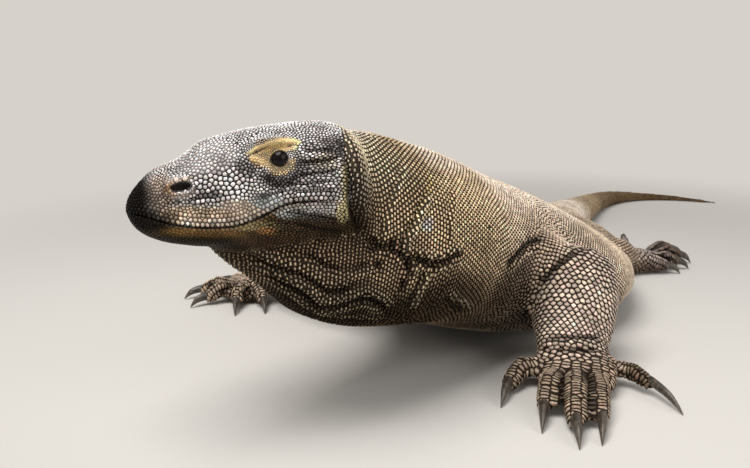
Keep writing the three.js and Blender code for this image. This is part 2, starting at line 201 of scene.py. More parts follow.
def smooth_line(points, step):
    """Points about a step apart on a smooth curve through the given ones."""
    points = np.array(points, float)
    padded = np.vstack([2 * points[0] - points[1], points, 2 * points[-1] - points[-2]])
    t = np.linspace(0, 1, 16, endpoint=False)[:, None]
    pieces = []
    for a, b, c, d in zip(padded, padded[1:], padded[2:], padded[3:]):
        bend = (2 * a - 5 * b + 4 * c - d) * t**2 + (3 * b - a - 3 * c + d) * t**3
        pieces.append(0.5 * (2 * b + (c - a) * t + bend))
    fine = np.vstack([*pieces, points[-1:]])
    length = np.concatenate([[0], np.cumsum(np.linalg.norm(np.diff(fine, axis=0), axis=1))])
    places = np.linspace(0, length[-1], max(3, round(length[-1] / step) + 1))
    return np.stack([np.interp(places, length, column) for column in fine.T], axis=1)


def nearest_on_line(points, line):
    """For each point: the nearest place on a line of points, how far along it is, and its run."""
    run = np.diff(line, axis=0)
    length = np.linalg.norm(run, axis=1)
    start = np.concatenate([[0], np.cumsum(length)])
    best = np.full(len(points), np.inf)
    place = np.zeros((len(points), 3))
    along = np.zeros(len(points))
    way = np.zeros((len(points), 3))
    for i in range(len(run)):
        t = np.clip(((points - line[i]) @ run[i]) / length[i] ** 2, 0, 1)
        here = line[i] + t[:, None] * run[i]
        gap = np.linalg.norm(points - here, axis=1)
        closer = gap < best
        best[closer] = gap[closer]
        place[closer] = here[closer]
        along[closer] = start[i] + t[closer] * length[i]
        way[closer] = run[i] / length[i]
    return place, along / start[-1], way


def unit(vectors):
    length = np.linalg.norm(vectors, axis=-1, keepdims=True)
    return vectors / np.maximum(length, 1e-9)


def step_between(low, high, value):
    """0 below low, 1 above high, and a smooth rise between."""
    t = np.clip((value - low) / (high - low), 0, 1)
    return t * t * (3 - 2 * t)


def blended(first, share, second):
    """Rows of values, with a share of each taken from the second."""
    share = share[:, None]
    return first * (1 - share) + share * second


def bump(distance, width):
    """A smooth bell, 1 at 0 and nearly 0 past twice the width."""
    return np.exp(-((distance / width) ** 2))


def vectors_of(items, key):
    flat = np.empty(len(items) * 3)
    items.foreach_get(key, flat)
    return flat.reshape(-1, 3)


def places_of(mesh):
    return vectors_of(mesh.vertices, "co")


def normals_of(mesh):
    return vectors_of(mesh.vertex_normals, "vector")


def set_places(mesh, places):
    mesh.vertices.foreach_set("co", np.ascontiguousarray(places, float).ravel())
    mesh.update()


def neighbours(mesh):
    """Every vertex's neighbours in one list, with where each vertex's own begin and how many."""
    ends = np.empty(len(mesh.edges) * 2, int)
    mesh.edges.foreach_get("vertices", ends)
    ends = ends.reshape(-1, 2)
    both = np.vstack([ends, ends[:, ::-1]])
    both = both[np.argsort(both[:, 0], kind="stable")]
    count = np.bincount(both[:, 0], minlength=len(mesh.vertices))
    return both[:, 1], np.concatenate([[0], np.cumsum(count)[:-1]]), count


def diffuse(values, web, rounds):
    """Each value moves half way to its neighbours' mean, for its own number of rounds."""
    others, first, count = web
    for done in range(int(np.ceil(rounds.max()))):
        share = 0.5 * np.clip(rounds - done, 0, 1)[:, None]
        mean = np.add.reduceat(values[others], first, axis=0) / count[:, None]
        values = values + share * (mean - values)
    return values


def smooth(mesh, rounds):
    """Takes facets away and gives back the size that plain smoothing loses."""
    web = neighbours(mesh)
    places = places_of(mesh)
    once = diffuse(places, web, rounds)
    set_places(mesh, diffuse(2 * places - once, web, rounds))


def new_object(name, mesh):
    obj = bpy.data.objects.new(name, mesh)
    bpy.context.collection.objects.link(obj)
    return obj


def merged_copy(node, out=0.0):
    """A CAD node's shape as one welded bmesh, its surface moved out a little."""
    shape = bmesh.new()
    shape.from_mesh(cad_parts[node].data)
    bmesh.ops.remove_doubles(shape, verts=shape.verts, dist=0.02 * MM)
    shape.normal_update()
    for vert in shape.verts:
        vert.co += out * MM * vert.normal
    return shape


@contextmanager
def edited(mesh):
    """A mesh as a bmesh, which goes back into it at the end."""
    shape = bmesh.new()
    shape.from_mesh(mesh)
    yield shape
    shape.to_mesh(mesh)
    shape.free()


def as_mesh(shape, name):
    """A bmesh, no longer needed after this, as a mesh of its own."""
    mesh = bpy.data.meshes.new(name)
    shape.to_mesh(mesh)
    shape.free()
    return mesh


def joined_meshes(shapes, name):
    whole = bmesh.new()
    for shape in shapes:
        mesh = as_mesh(shape, "part")
        whole.from_mesh(mesh)
        bpy.data.meshes.remove(mesh)
    return as_mesh(whole, name)


# Where the crease behind the head runs: how far forward it lies at each height, in the head frame.
CREASE = ((-34, -14, 7, 32, 50, 61, 71), (-15, -3, 6, 8, 12, 13, 12))
CREASE_BACK = 2  # the head's own skin ends this far behind the crease


class BodyMap:
    """Says which CAD node of the flesh a place belongs to: the nearest, but neck behind the crease."""

    def __init__(self):
        places = []
        faces = []
        self.owner = []
        for index, name in enumerate(FLESH):
            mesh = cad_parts[name].data
            start = len(places)
            places.extend(tuple(place) for place in places_of(mesh))
            faces.extend([start + vert for vert in face] for face in faces_of(mesh))
            self.owner += [index] * len(mesh.polygons)
        self.tree = BVHTree.FromPolygons(places, faces)

    def labels(self, points):
        labels = np.array([self.owner[self.tree.find_nearest(Vector(p))[2]] for p in points])
        here = into(HEAD, points)
        behind = here[:, 0] < np.interp(here[:, 2], *CREASE) - CREASE_BACK
        labels[is_part(labels, HEAD_NODES) & behind] = FLESH.index("neck")
        return labels


def kind_of(name, table):
    """A part's key in a table that may say one thing of both sides, or of the whole tail."""
    return name if name in table else name.rsplit("_", 1)[0]


def is_part(labels, names):
    return np.isin(labels, [FLESH.index(name) for name in names])


# ---- folds ----------------------------------------------------------------------------------------
# Each fold is a groove along a line, with rolls of skin beside it. A line that runs to the rear has
# its positive side above it, and one that runs down has it to the rear. Each roll has a height, a
# place across the line and a width. Head folds are on both sides.

# A fold's dark is painted shade in its groove. Its gold is partly the yellow of the crests and partly a
# painted highlight on its rolls.
class Fold:
    def __init__(self, line, groove, width, rolls=(), dark=0.8, gold=0.0):
        self.line = smooth_line(line, 4)
        self.groove = groove
        self.width = width
        self.rolls = rolls
        self.dark = dark
        self.gold = gold

    def lay_on(self, tree):
        """Drops the line on a surface, evened out along its run."""
        self.line = np.array([tree.find_nearest(Vector(place))[0] for place in self.line])
        for _ in range(3):
            self.line[1:-1] = (self.line[:-2] + 2 * self.line[1:-1] + self.line[2:]) / 4

    def near(self, points, reach):
        """Which points are in a box that reaches this far beyond the line."""
        low, high = self.line.min(axis=0) - reach, self.line.max(axis=0) + reach
        return np.all((points > low) & (points < high), axis=1)


LIP_LINE = [(213, 4, -12), (208, 16, -12), (195, 27, -12.5), (179, 35, -16), (156, 40, -19.5),
            (133, 42, -20), (112, 45, -17.5), (94, 49, -10), (78, 53, -0.5), (63, 56, 6.5),
            (39, 59, 9), (18, 59, 9)]
HEAD_FOLDS = [
    Fold(LIP_LINE, 2.2, 1.3, [(1.0, 3.4, 2.4), (0.5, -3.2, 2.2)], dark=1.0),
    Fold([(158, 40, 6), (149, 39, 7), (136, 41, 9), (122, 43, 13)], 1.4, 1.5, [(0.9, -3.4, 2.0)]),
    Fold([(12, 26, 71), (13, 44, 61), (12, 54, 50), (8, 60, 32), (6, 58, 7), (-3, 51, -14),
          (-15, 33, -34)], 6.0, 4.2, [(1.8, -6.5, 4.0), (2.6, 10, 6.5)], dark=1.0),
    Fold([(2, 35, -34), (31, 37, -43), (60, 34, -42), (88, 30, -42)], 2.4, 3.0, [(1.0, 6, 4.0)]),
    Fold([(104, 42, 48), (94, 46, 52.5), (84, 48, 57), (72, 47, 60), (56, 45, 60)], 1.2, 1.0,
         [(0.8, 2.6, 1.5)], dark=0.75),
    Fold([(91, 46, 39), (86, 50, 29), (74, 54, 24.5), (61, 55, 28), (54, 53, 37)], 1.3, 1.3,
         [(0.8, 2.6, 1.6)], dark=0.8),
    Fold([(95, 45, 38), (90, 49, 26), (76, 54, 20.5), (60, 56, 24), (50, 54, 34)], 0.9, 1.2,
         [(0.6, 2.6, 1.6)], dark=0.6),
    Fold([(97, 47, 8), (84, 50, 13), (66, 55, 18), (40, 60, 19), (17, 60, 22)], 1.8, 1.4,
         [(1.3, 3.4, 2.0)], dark=0.6),
    Fold([(82, 50, 20), (66, 54, 23), (44, 59, 26), (20, 60, 30)], 1.6, 1.3, [(1.2, 3.2, 2.0)], dark=0.6),
    Fold([(58, 52, 31), (46, 56, 34), (33, 58, 36), (18, 59, 40)], 1.6, 1.3, [(1.2, 3.2, 2.0)], dark=0.8),
    Fold([(54, 50, 43), (44, 53, 45), (30, 55, 47), (18, 55, 50)], 1.4, 1.3, [(1.0, 3, 2.0)], dark=0.8),
    Fold([(52, 48, 54), (42, 50, 56), (30, 50, 58), (20, 50, 60)], 1.2, 1.3, [(0.8, 3, 2.0)], dark=0.7),
    Fold([(70, 54, -2), (52, 57, -4), (34, 58, -6), (14, 56, -10)], 1.5, 1.6, [(0.8, -4, 2.5)], dark=0.6),
    Fold([(60, 54, -13), (42, 55, -17), (24, 53, -21), (4, 48, -26)], 1.5, 1.8, [(0.8, -4, 2.5)],
         dark=0.6),
]
BODY_FOLDS = [
    Fold([(-126, 662, 213), (-97, 661, 198), (-76, 664, 192), (-62, 668, 184), (-45, 677, 172),
          (-20, 684, 180)], 4.4, 2.8, [(3.6, -6.5, 4.0), (2.4, 6.5, 4.0)], gold=0.5),
    Fold([(-118, 662, 197), (-92, 664, 184), (-70, 669, 172), (-58, 680, 158), (-38, 683, 159),
          (-11, 690, 162), (12, 712, 139)], 4.8, 3.0, [(4.0, 7, 4.0), (2.6, -7, 4.5)], gold=0.5),
    Fold([(-75, 661, 215), (-61, 665, 208), (-47, 670, 197), (-24, 678, 193), (-5, 685, 199)], 3.4, 2.6,
         [(2.8, -6, 3.5)], gold=0.4),
    Fold([(24, 742, 288), (12, 708, 262), (4, 690, 236), (2, 682, 216)], 1.4, 2.6, [(2.6, 6.5, 4.0)],
         dark=0.35, gold=0.4),
    Fold([(86, 775, 262), (78, 750, 236), (74, 740, 214), (78, 740, 196)], 1.0, 3.0, [(2.0, 7, 4.5)],
         dark=0.3),
    Fold([(-96, 668, 172), (-74, 678, 158), (-50, 692, 144), (-22, 702, 140), (8, 716, 126)], 2.6, 2.6,
         [(2.0, 6, 4.0)], gold=0.3),
    Fold([(-18, 679, 226), (-2, 685, 213), (14, 692, 208), (28, 703, 192), (34, 708, 168)], 4.2, 3.2,
         [(2.0, -6, 4.0)], dark=1.0),
    Fold([(56, 738, 264), (44, 718, 246), (33, 708, 228), (22, 698, 212), (26, 702, 190)], 2.6, 2.6,
         [(4.0, 6.5, 3.6)], dark=0.7, gold=1.0),
    Fold([(30, 706, 196), (46, 716, 190), (59, 726, 184), (82, 744, 187), (98, 758, 187)], 5.4, 3.4,
         [(3.4, 7, 4.0), (2.4, -7, 4.0)], dark=1.0, gold=0.5),
    Fold([(50, 722, 182), (38, 718, 164), (28, 724, 140)], 3.4, 2.6, [(3.6, 6.5, 4.0)], gold=0.8),
    Fold([(60, 760, 150), (84, 770, 128), (110, 800, 104)], 3.0, 3.4, [(2.2, 7, 5.0)], gold=0.3),
    Fold([(18, 738, 122), (44, 762, 104), (76, 800, 90)], 3.0, 3.4, [(2.2, 7, 5.0)]),
    Fold([(155, 825, 152), (176, 850, 162), (196, 868, 170), (222, 893, 172)], 4.6, 4.0,
         [(3.2, -9, 6.0)], dark=1.0),
    Fold([(289, 960, 140), (284, 905, 154), (262, 884, 155), (244, 877, 146), (226, 870, 130),
          (210, 872, 104)], 4.0, 3.4, [(2.8, 8, 5.0)], dark=1.0),
    Fold([(-60, 790, 278), (-86, 812, 248), (-94, 834, 208), (-84, 834, 156)], 3.6, 5.0,
         [(2.8, 11, 7.0), (1.6, -10, 6.0)], dark=0.4),
    Fold([(-36, 838, 266), (-54, 858, 234), (-60, 882, 192), (-46, 882, 146)], 3.0, 5.0,
         [(2.4, 11, 7.0)], dark=0.35),
    Fold([(-12, 884, 246), (-34, 912, 212), (-34, 924, 176)], 2.6, 5.0, [(2.0, 10, 6.0)], dark=0.3),
    Fold([(40, 1235, 120), (30, 1260, 92), (28, 1275, 62)], 2.6, 5.0, [(2.4, 11, 7.0)], dark=0.3),
    Fold([(222, 833, 56), (236, 823, 61), (252, 819, 62), (268, 824, 60), (282, 836, 55)], 2.6, 2.6,
         [(1.8, -6, 4.0)], dark=0.9),
    Fold([(226, 819, 46), (238, 809, 50), (252, 806, 51), (266, 810, 49), (278, 822, 45)], 2.4, 2.4,
         [(1.6, -5, 3.4)], dark=0.8),
]


TOES_APART = 52  # toes whose knuckles are further apart than this have no cleft between them


def toe_folds():
    """The deep clefts between neighbouring toes."""
    folds = []
    for leg in LEGS.values():
        for toe, after in zip(leg["toes"], leg["toes"][1:]):
            between = (np.array(toe[:3], float) + np.array(after[:3], float)) / 2
            if np.linalg.norm(np.array(toe[1]) - np.array(after[1])) < TOES_APART:
                # The cleft is painted dark: painted shade between the toes.
                folds.append(Fold(between + (0, 0, 3), 4.5, 3.2, dark=1.0))
    return folds


def pit(place, size, depth):
    """A short, deep hollow that runs down from a little above its place."""
    high = np.array(place) + (2, 0, size)
    low = np.array(place) - (2, 0, size)
    # The hollow is painted dark: painted shade in it.
    return Fold([high, place, low], depth, 0.55 * size, dark=1.0)


BODY_FOLDS += toe_folds()
BODY_FOLDS += [pit(*hollow) for hollow in (
    ((-1, 675, 214), 8, 6), ((18, 685, 213), 7, 5), ((3, 679, 193), 6, 4),
    ((34, 698, 192), 8, 5), ((29, 698, 167), 7, 6), ((60, 727, 183), 7, 5))]


FOLD_REACH = 16  # how far beyond its groove a fold may have rolls
FOLD_END = 0.14  # the share of its length over which a fold fades at each end
FOLD_SHEET = (9, 15)  # a fold fades between these distances off the surface that it lies on


def fold_fields(points, normals, folds):
    """What the folds do at each point: how far they move it, how dark they make it with painted shade in the
    grooves, and how gold, partly with painted highlight on the rolls.
    """
    shift = np.zeros(len(points))
    dark = np.zeros(len(points))
    gold = np.zeros(len(points))
    for fold in folds:
        near = fold.near(points, 3 * fold.width + FOLD_REACH)
        if not near.any():
            continue
        place, along, way = nearest_on_line(points[near], fold.line)
        offset = points[near] - place
        rise = np.einsum("ij,ij->i", offset, normals[near])
        offset -= rise[:, None] * normals[near]
        beside = np.einsum("ij,ij->i", offset, np.cross(normals[near], way))
        across = np.linalg.norm(offset, axis=1) * np.where(beside < 0, -1, 1)
        ends = step_between(0, FOLD_END, along) * step_between(0, FOLD_END, 1 - along)
        ends *= 1 - step_between(*FOLD_SHEET, np.abs(rise))
        depth = ends * bump(across, fold.width)
        move = -fold.groove * depth
        for height, place_across, width in fold.rolls:
            roll = ends * bump(across - place_across, width)
            move += height * roll
            gold[near] = np.maximum(gold[near], fold.gold * roll)
        shift[near] += move
        dark[near] = np.maximum(dark[near], fold.dark * ends * bump(across, 1.3 * fold.width))
    return shift, dark, gold


# ---- eyes and nostrils in the skin ----------------------------------------------------------------

EYE_AXIS = unit(np.array((0.16, 0.97, 0.10)))
EYE_UP = unit(np.array((0.0, 0.0, 1.0)) - 0.10 * EYE_AXIS)
EYE_FORWARD = np.cross(EYE_AXIS, EYE_UP)
EYEBALL = 9.6  # radius of the eyeball
LID = 1.0  # how thick the lids are
LID_OPENING = (8.0, 7.4)  # half its length and half its height, along the eyeball
LID_EDGE = 17  # the lids reach no further than this from the eyeball's centre
LID_TILT = math.radians(-14)
LID_RADIUS = 10  # of the lids' outer face, along which the opening is measured
LID_TAPER = 0.16  # how much lower the opening is at its front end, and higher at its rear end
LID_SHIFT = 0.6  # how far its middle lies in front of the pupil
BEHIND_LIDS = 1.6  # how far the skin in the opening is sunk into the eyeball, out of sight
NOSTRIL_OPENING = (9.6, 4.7)
NOSTRIL_TILT = math.radians(-13)
NOSTRIL_DEPTH = 7.5
BARE_EDGES = (1.02, 1.04)  # how far out of the nostrils and the lids' opening no scale grows


def tilted(x, y, tilt):
    """A place in a plane, as seen by one who leans over by a tilt."""
    cos, sin = math.cos(tilt), math.sin(tilt)
    return x * cos + y * sin, y * cos - x * sin


def round_eye(points):
    """Places round the eye: the distance from its centre, how far out of the lids' opening, with 1 at
    their edge, and how far to the front and up along the eyeball."""
    offset = points - EYE_PLACE
    distance = np.linalg.norm(offset, axis=1)
    ways = unit(offset)
    arc = np.arccos(np.clip(ways @ EYE_AXIS, -1, 1)) * LID_RADIUS
    across = np.stack([ways @ EYE_FORWARD, ways @ EYE_UP], axis=1)
    across = unit(across) * arc[:, None]
    x, y = tilted(across[:, 0], across[:, 1], LID_TILT)
    height = LID_OPENING[1] * (1 - LID_TAPER * np.clip(x / LID_OPENING[0], -1, 1))
    spread = np.hypot((x - LID_SHIFT) / LID_OPENING[0], y / height)
    return distance, spread, x, y


def lids(points):
    """Wraps the skin round the eyeball and opens it, and raises the fold lines of both lids."""
    distance, spread, _, _ = round_eye(points)
    near = (distance < LID_EDGE) & (spread < 2.4)
    ways = unit(points - EYE_PLACE)
    rim = EYEBALL + LID + 0.7 * bump(spread - 1.16, 0.12)
    rim -= 0.7 * bump(spread - 1.42, 0.10) + 0.5 * bump(spread - 1.72, 0.10)
    rim = np.where(spread < 1, EYEBALL - BEHIND_LIDS, rim)
    hold = 1 - step_between(1.25, 2.1, spread)
    radius = distance + hold * (rim - distance)
    moved = EYE_PLACE + ways * radius[:, None]
    return np.where(near[:, None], moved, points)


def round_nostril(points):
    """How far out of the nostril places of the head are, with 1 at its edge."""
    offset = points - NOSTRIL_PLACE
    x, y = tilted(offset[:, 0], offset[:, 2], NOSTRIL_TILT)
    spread = np.hypot(x / NOSTRIL_OPENING[0], y / NOSTRIL_OPENING[1])
    return np.where(offset[:, 1] > -14, spread, 9.0)


def nostril_shift(points):
    spread = round_nostril(points)
    hollow = -NOSTRIL_DEPTH * np.sqrt(np.clip(1 - spread**2, 0, 1)) - 1.0 * (spread < 1)
    return hollow + 1.5 * bump(spread - 1.32, 0.26)


def openings(points):
    """Where the skin is open and bears no scales: inside the nostrils and behind the lids."""
    distance, to_lid, _, _ = round_eye(points)
    nostril, lid = BARE_EDGES
    return (round_nostril(points) < nostril) | ((distance < 15) & (to_lid < lid))


def flips(points):
    """What lays places and directions of the head's right side on its left side."""
    return np.where(points[:, 1:2] < 0, (1, -1, 1), (1, 1, 1))


def mirrored(points):
    return points * flips(points)


def head_places(mesh):
    """A mesh's vertices in the head frame, both sides laid on the left one."""
    return mirrored(into(HEAD, places_of(mesh)))


def faces_of(mesh):
    return [tuple(face.vertices) for face in mesh.polygons]


def tree_of(places, mesh):
    return BVHTree.FromPolygons([tuple(place) for place in places], faces_of(mesh))


def lay_folds(mesh):
    """Drops every fold's line on the skin before the skin is sculpted along it."""
    in_head = tree_of(into(HEAD, places_of(mesh)), mesh)
    for fold in HEAD_FOLDS:
        fold.lay_on(in_head)
    in_stance = tree_of(into(STANCE, places_of(mesh)), mesh)
    for fold in BODY_FOLDS:
        fold.lay_on(in_stance)


def near_folds(points, folds, reach):
    """Which points are within reach of any fold's line."""
    near = np.zeros(len(points), bool)
    for fold in folds:
        here = fold.near(points, reach)
        place, _, _ = nearest_on_line(points[here], fold.line)
        near[here] |= np.linalg.norm(points[here] - place, axis=1) < reach
    return near


# The box round the head that is sculpted, and the swellings of it: centre, radii and height.
HEAD_BOX = ((-60, -1, -80), (230, 80, 110))
SWELLINGS = [((80, 42, 63), (22, 8, 4), 1.6), ((154, 8, 54), (17, 26, 14), 4.5)]


def sculpt_head(mesh):
    whole = into(HEAD, places_of(mesh))
    side = flips(whole)
    points = whole * side
    near = np.all((points > HEAD_BOX[0]) & (points < HEAD_BOX[1]), axis=1)
    here = points[near]
    facing = (turned(HEAD.inverted(), normals_of(mesh)) * side)[near]
    shift, _, _ = fold_fields(here, facing, HEAD_FOLDS)
    shift += nostril_shift(here)
    for centre, radii, height in SWELLINGS:
        shift += height * bump(np.linalg.norm((here - centre) / radii, axis=1), 1.0)
    here = lids(here + shift[:, None] * facing)
    points[near] = here
    set_places(mesh, out_of(HEAD, points * side))


def sculpt_body(mesh):
    points = into(STANCE, places_of(mesh))
    normals = turned(STANCE.inverted(), normals_of(mesh))
    shift, _, _ = fold_fields(points, normals, BODY_FOLDS)
    set_places(mesh, out_of(STANCE, points + shift[:, None] * normals))


# ---- skin -----------------------------------------------------------------------------------------

FUSE_OUT = 0.6  # how far each solid is grown, so that neighbours fuse
TIP_OUT = 2.6  # the same at the thin end of the tail
# How many rounds of smoothing each part's skin gets.
SMOOTHING = {
    "head": 7, "lower_jaw": 7, "neck": 40, "trunk": 46, "tail_1": 26, "tail_2": 14, "tail_3": 6,
    "tail_4": 2, "upper_arm": 18, "forearm": 12, "forefoot": 3, "thigh": 18, "shin": 12, "hindfoot": 3,
}


def fused(voxel):
    """All the flesh as one closed surface of even quads."""
    shapes = [merged_copy(node, TIP_OUT if node == "tail_4" else FUSE_OUT) for node in FLESH]
    shapes += [merged_copy(node) for node in EYE_NODES]
    obj = new_object("skin", joined_meshes(shapes, "skin"))
    remesh = obj.modifiers.new("Fuse", "REMESH")
    remesh.mode = "VOXEL"
    remesh.voxel_size = voxel
    bpy.context.view_layer.update()
    whole = obj.evaluated_get(bpy.context.evaluated_depsgraph_get())
    mesh = bpy.data.meshes.new_from_object(whole)
    obj.modifiers.clear()
    obj.data = mesh
    mesh.name = "skin"
    return obj


def keep_largest(mesh):
    """Takes away the crumbs that a remesh can leave."""
    others, first, count = neighbours(mesh)
    island = np.full(len(mesh.vertices), -1)
    islands = 0
    for start in range(len(island)):
        if island[start] >= 0:
            continue
        island[start] = islands
        edge = [start]
        while edge:
            vert = edge.pop()
            for other in others[first[vert] : first[vert] + count[vert]]:
                if island[other] < 0:
                    island[other] = islands
                    edge.append(other)
        islands += 1
    biggest = np.bincount(island).argmax()
    with edited(mesh) as shape:
        crumbs = [vert for vert, owner in zip(shape.verts, island) if owner != biggest]
        bmesh.ops.delete(shape, geom=crumbs, context="VERTS")


def refine(mesh, chosen):
    """Cuts every face with a chosen vertex into four."""
    with edited(mesh) as shape:
        shape.verts.ensure_lookup_table()
        faces = {face for index in np.flatnonzero(chosen) for face in shape.verts[index].link_faces}
        edges = list({edge for face in faces for edge in face.edges})
        bmesh.ops.subdivide_edges(shape, edges=edges, cuts=1, use_grid_fill=True)


def rounds_of_smoothing(labels):
    rounds = np.zeros(len(labels))
    for index, name in enumerate(FLESH):
        rounds[labels == index] = SMOOTHING[kind_of(name, SMOOTHING)]
    return rounds


# How far round the folds of the body and the head, and round the lids, nostrils and lips, the skin is
# cut finer, and how far round those last the finest skin reaches.
BODY_MARGIN, HEAD_MARGIN, DETAIL_MARGIN, FINE_MARGIN = 9, 6, 8, 3.2
LID_CORE, NOSTRIL_CORE = 14, 11  # radii about the eye's and the nostril's centres that have detail
SMOOTHING_BLEND, INSET_BLEND = 10.0, 6.0  # rounds of blending of what differs from part to part


def detail_places(points, margin):
    """Which points of the head frame are within a margin of the eyes, the nostrils and the lips."""
    distance, spread, _, _ = round_eye(points)
    place, _, _ = nearest_on_line(points, smooth_line(LIP_LINE, 6))
    fine = (distance < LID_CORE + margin) & (spread < 2 + 0.06 * margin)
    fine |= np.linalg.norm(points - NOSTRIL_PLACE, axis=1) < NOSTRIL_CORE + margin
    return fine | (np.linalg.norm(points - place, axis=1) < margin)


SCALE_HEIGHT = 1.4  # how far over the floor the skin lies where the body rests on it


def keep_off_floor(mesh):
    """Lays the parts that rest on the floor flat, a scale's height above it."""
    places = places_of(mesh)
    places[:, 2] = np.maximum(places[:, 2], CAD_BOX[0].z + SCALE_HEIGHT * MM)
    set_places(mesh, places)


def make_skin(sizes, body):
    obj = fused(sizes.voxel)
    mesh = obj.data
    keep_largest(mesh)
    labels = body.labels(places_of(mesh))
    web = neighbours(mesh)
    everywhere = np.ones(len(labels))
    rounds = diffuse(rounds_of_smoothing(labels)[:, None], web, SMOOTHING_BLEND * everywhere)
    smooth(mesh, rounds[:, 0])
    inset = np.where(is_part(labels, ["tail_4"]), TIP_OUT, FUSE_OUT)[:, None]
    inset = diffuse(inset, web, INSET_BLEND * everywhere) * MM + sizes.coat_depth
    set_places(mesh, places_of(mesh) - inset * normals_of(mesh))
    head = is_part(labels, HEAD_NODES)
    folded = near_folds(into(STANCE, places_of(mesh)), BODY_FOLDS, BODY_MARGIN)
    refine(mesh, head | is_part(labels, FEET) | folded)
    head = is_part(body.labels(places_of(mesh)), HEAD_NODES)
    smooth(mesh, np.where(head, 2.0, 1.0))
    in_head = head_places(mesh)
    detail = detail_places(in_head, DETAIL_MARGIN) | near_folds(in_head, HEAD_FOLDS, HEAD_MARGIN)
    refine(mesh, head & detail)
    smooth(mesh, np.ones(len(mesh.vertices)))
    refine(mesh, detail_places(head_places(mesh), FINE_MARGIN))
    smooth(mesh, np.where(detail_places(head_places(mesh), FINE_MARGIN), 2.0, 0.0))
    lay_folds(mesh)
    sculpt_body(mesh)
    sculpt_head(mesh)
    keep_off_floor(mesh)
    mesh.shade_smooth()
    return obj


# ---- the lie of the scales ------------------------------------------------------------------------

SHIN_FRONT = (0.3, -0.9, 0.6)  # where the front of a lower leg faces, in the stance frame
TOES = 5


def body_lines(name):
    """The lines that the scales of one part follow, in the stance frame."""
    if name in HEAD_NODES:
        return [smooth_line(into(STANCE, out_of(HEAD, HEAD_LINE[::-1])), 6)]
    if name in SPINE_NODES:
        return [smooth_line(SPINE_LINE, 7)]
    part, side = name.rsplit("_", 1)
    pair = "fore" if part in LEG_PARTS["fore"] else "hind"
    leg = LEGS[f"{pair}_{side}"]
    if "foot" not in part:
        return [smooth_line(leg[("upper", "lower")[LEG_PARTS[pair].index(part)]], 4)]
    return [smooth_line(toe[:3], 4) for toe in leg["toes"]] + [smooth_line(leg["palm"], 4)]


BODY_LINES = {name: body_lines(name) for name in FLESH}


def top_of(name):
    return SHIN_FRONT if name.startswith(("forearm", "shin")) else (0, 0, 1)


class Lie:
    """For points of the stance frame: the line that each follows, and where it is along and round it."""

    def __init__(self, points, labels):
        size = len(points)
        self.strand = np.zeros(size, int)
        self.along = np.zeros(size)
        self.way = np.zeros((size, 3))
        self.turn = np.zeros(size)
        for index, name in enumerate(FLESH):
            here = np.flatnonzero(labels == index)
            if not len(here):
                continue
            best = np.full(len(here), np.inf)
            offset = np.zeros((len(here), 3))
            for strand, line in enumerate(BODY_LINES[name]):
                place, along, way = nearest_on_line(points[here], line)
                gap = np.linalg.norm(points[here] - place, axis=1)
                closer = gap < best
                best[closer] = gap[closer]
                offset[closer] = (points[here] - place)[closer]
                self.strand[here[closer]] = strand
                self.along[here[closer]] = along[closer]
                self.way[here[closer]] = way[closer]
            side = unit(np.cross(np.array(top_of(name), float), self.way[here]))
            top = np.cross(self.way[here], side)
            across = np.einsum("ij,ij->i", offset, side)
            self.turn[here] = np.arctan2(across, np.einsum("ij,ij->i", offset, top))


# How long (along the body) and how wide one scale is on each part, in millimetres.
GRAINS = {
    "neck": (5.4, 5.4), "trunk": (5.5, 5.8), "tail_1": (6.0, 5.4), "tail_2": (6.0, 4.6),
    "tail_3": (5.4, 4.0), "tail_4": (4.6, 3.4), "upper_arm": (5.9, 5.8), "forearm": (7.4, 8.2),
    "forefoot": (5.2, 9.0), "thigh": (6.4, 6.0), "shin": (6.8, 6.6), "hindfoot": (5.4, 7.6),
    "head": (3.3, 3.1), "lower_jaw": (3.3, 2.7),
}
TOE_GRAIN = (5.0, 11.0)  # the bands across a toe
GRAIN_BLEND = (3.0, 16.0)  # rounds of blending of the scales' sizes, on the head and elsewhere
# Where the head's scales are larger or finer: centre, radii, length and width.
HEAD_GRAINS = [
    ((126, 42, 22), (32, 26, 22), 4.8, 4.6),
    ((140, 0, 50), (44, 36, 24), 3.9, 3.7),
    ((192, 20, 12), (26, 44, 38), 3.4, 3.3),
    ((60, 56, 12), (44, 16, 14), 3.6, 2.9),
    ((34, 54, 52), (26, 22, 22), 4.0, 2.7),
    ((2, 56, 20), (12, 24, 60), 3.0, 3.0),
    ((73, 46, 44), (24, 18, 24), 2.5, 2.4),
    ((84, 44, 55), (32, 14, 10), 2.0, 1.9),
    ((30, 50, -26), (60, 30, 22), 3.6, 2.7),
]


def within(points, centre, radii, start=0.6):
    """How far points are within an ellipsoid: 1 in its core, and none just outside it."""
    return 1 - step_between(start, 1.1, np.linalg.norm((points - centre) / radii, axis=1))


def nape_share(points):
    """How far points of the stance frame are within the nape, behind the crown of the head."""
    return within(points, (10, 720, 290), (90, 100, 50))


def box_share(points, centre, half):
    """How far points are within a box, falling off evenly to its sides."""
    return bump((points - centre) / half, 1).prod(axis=1)


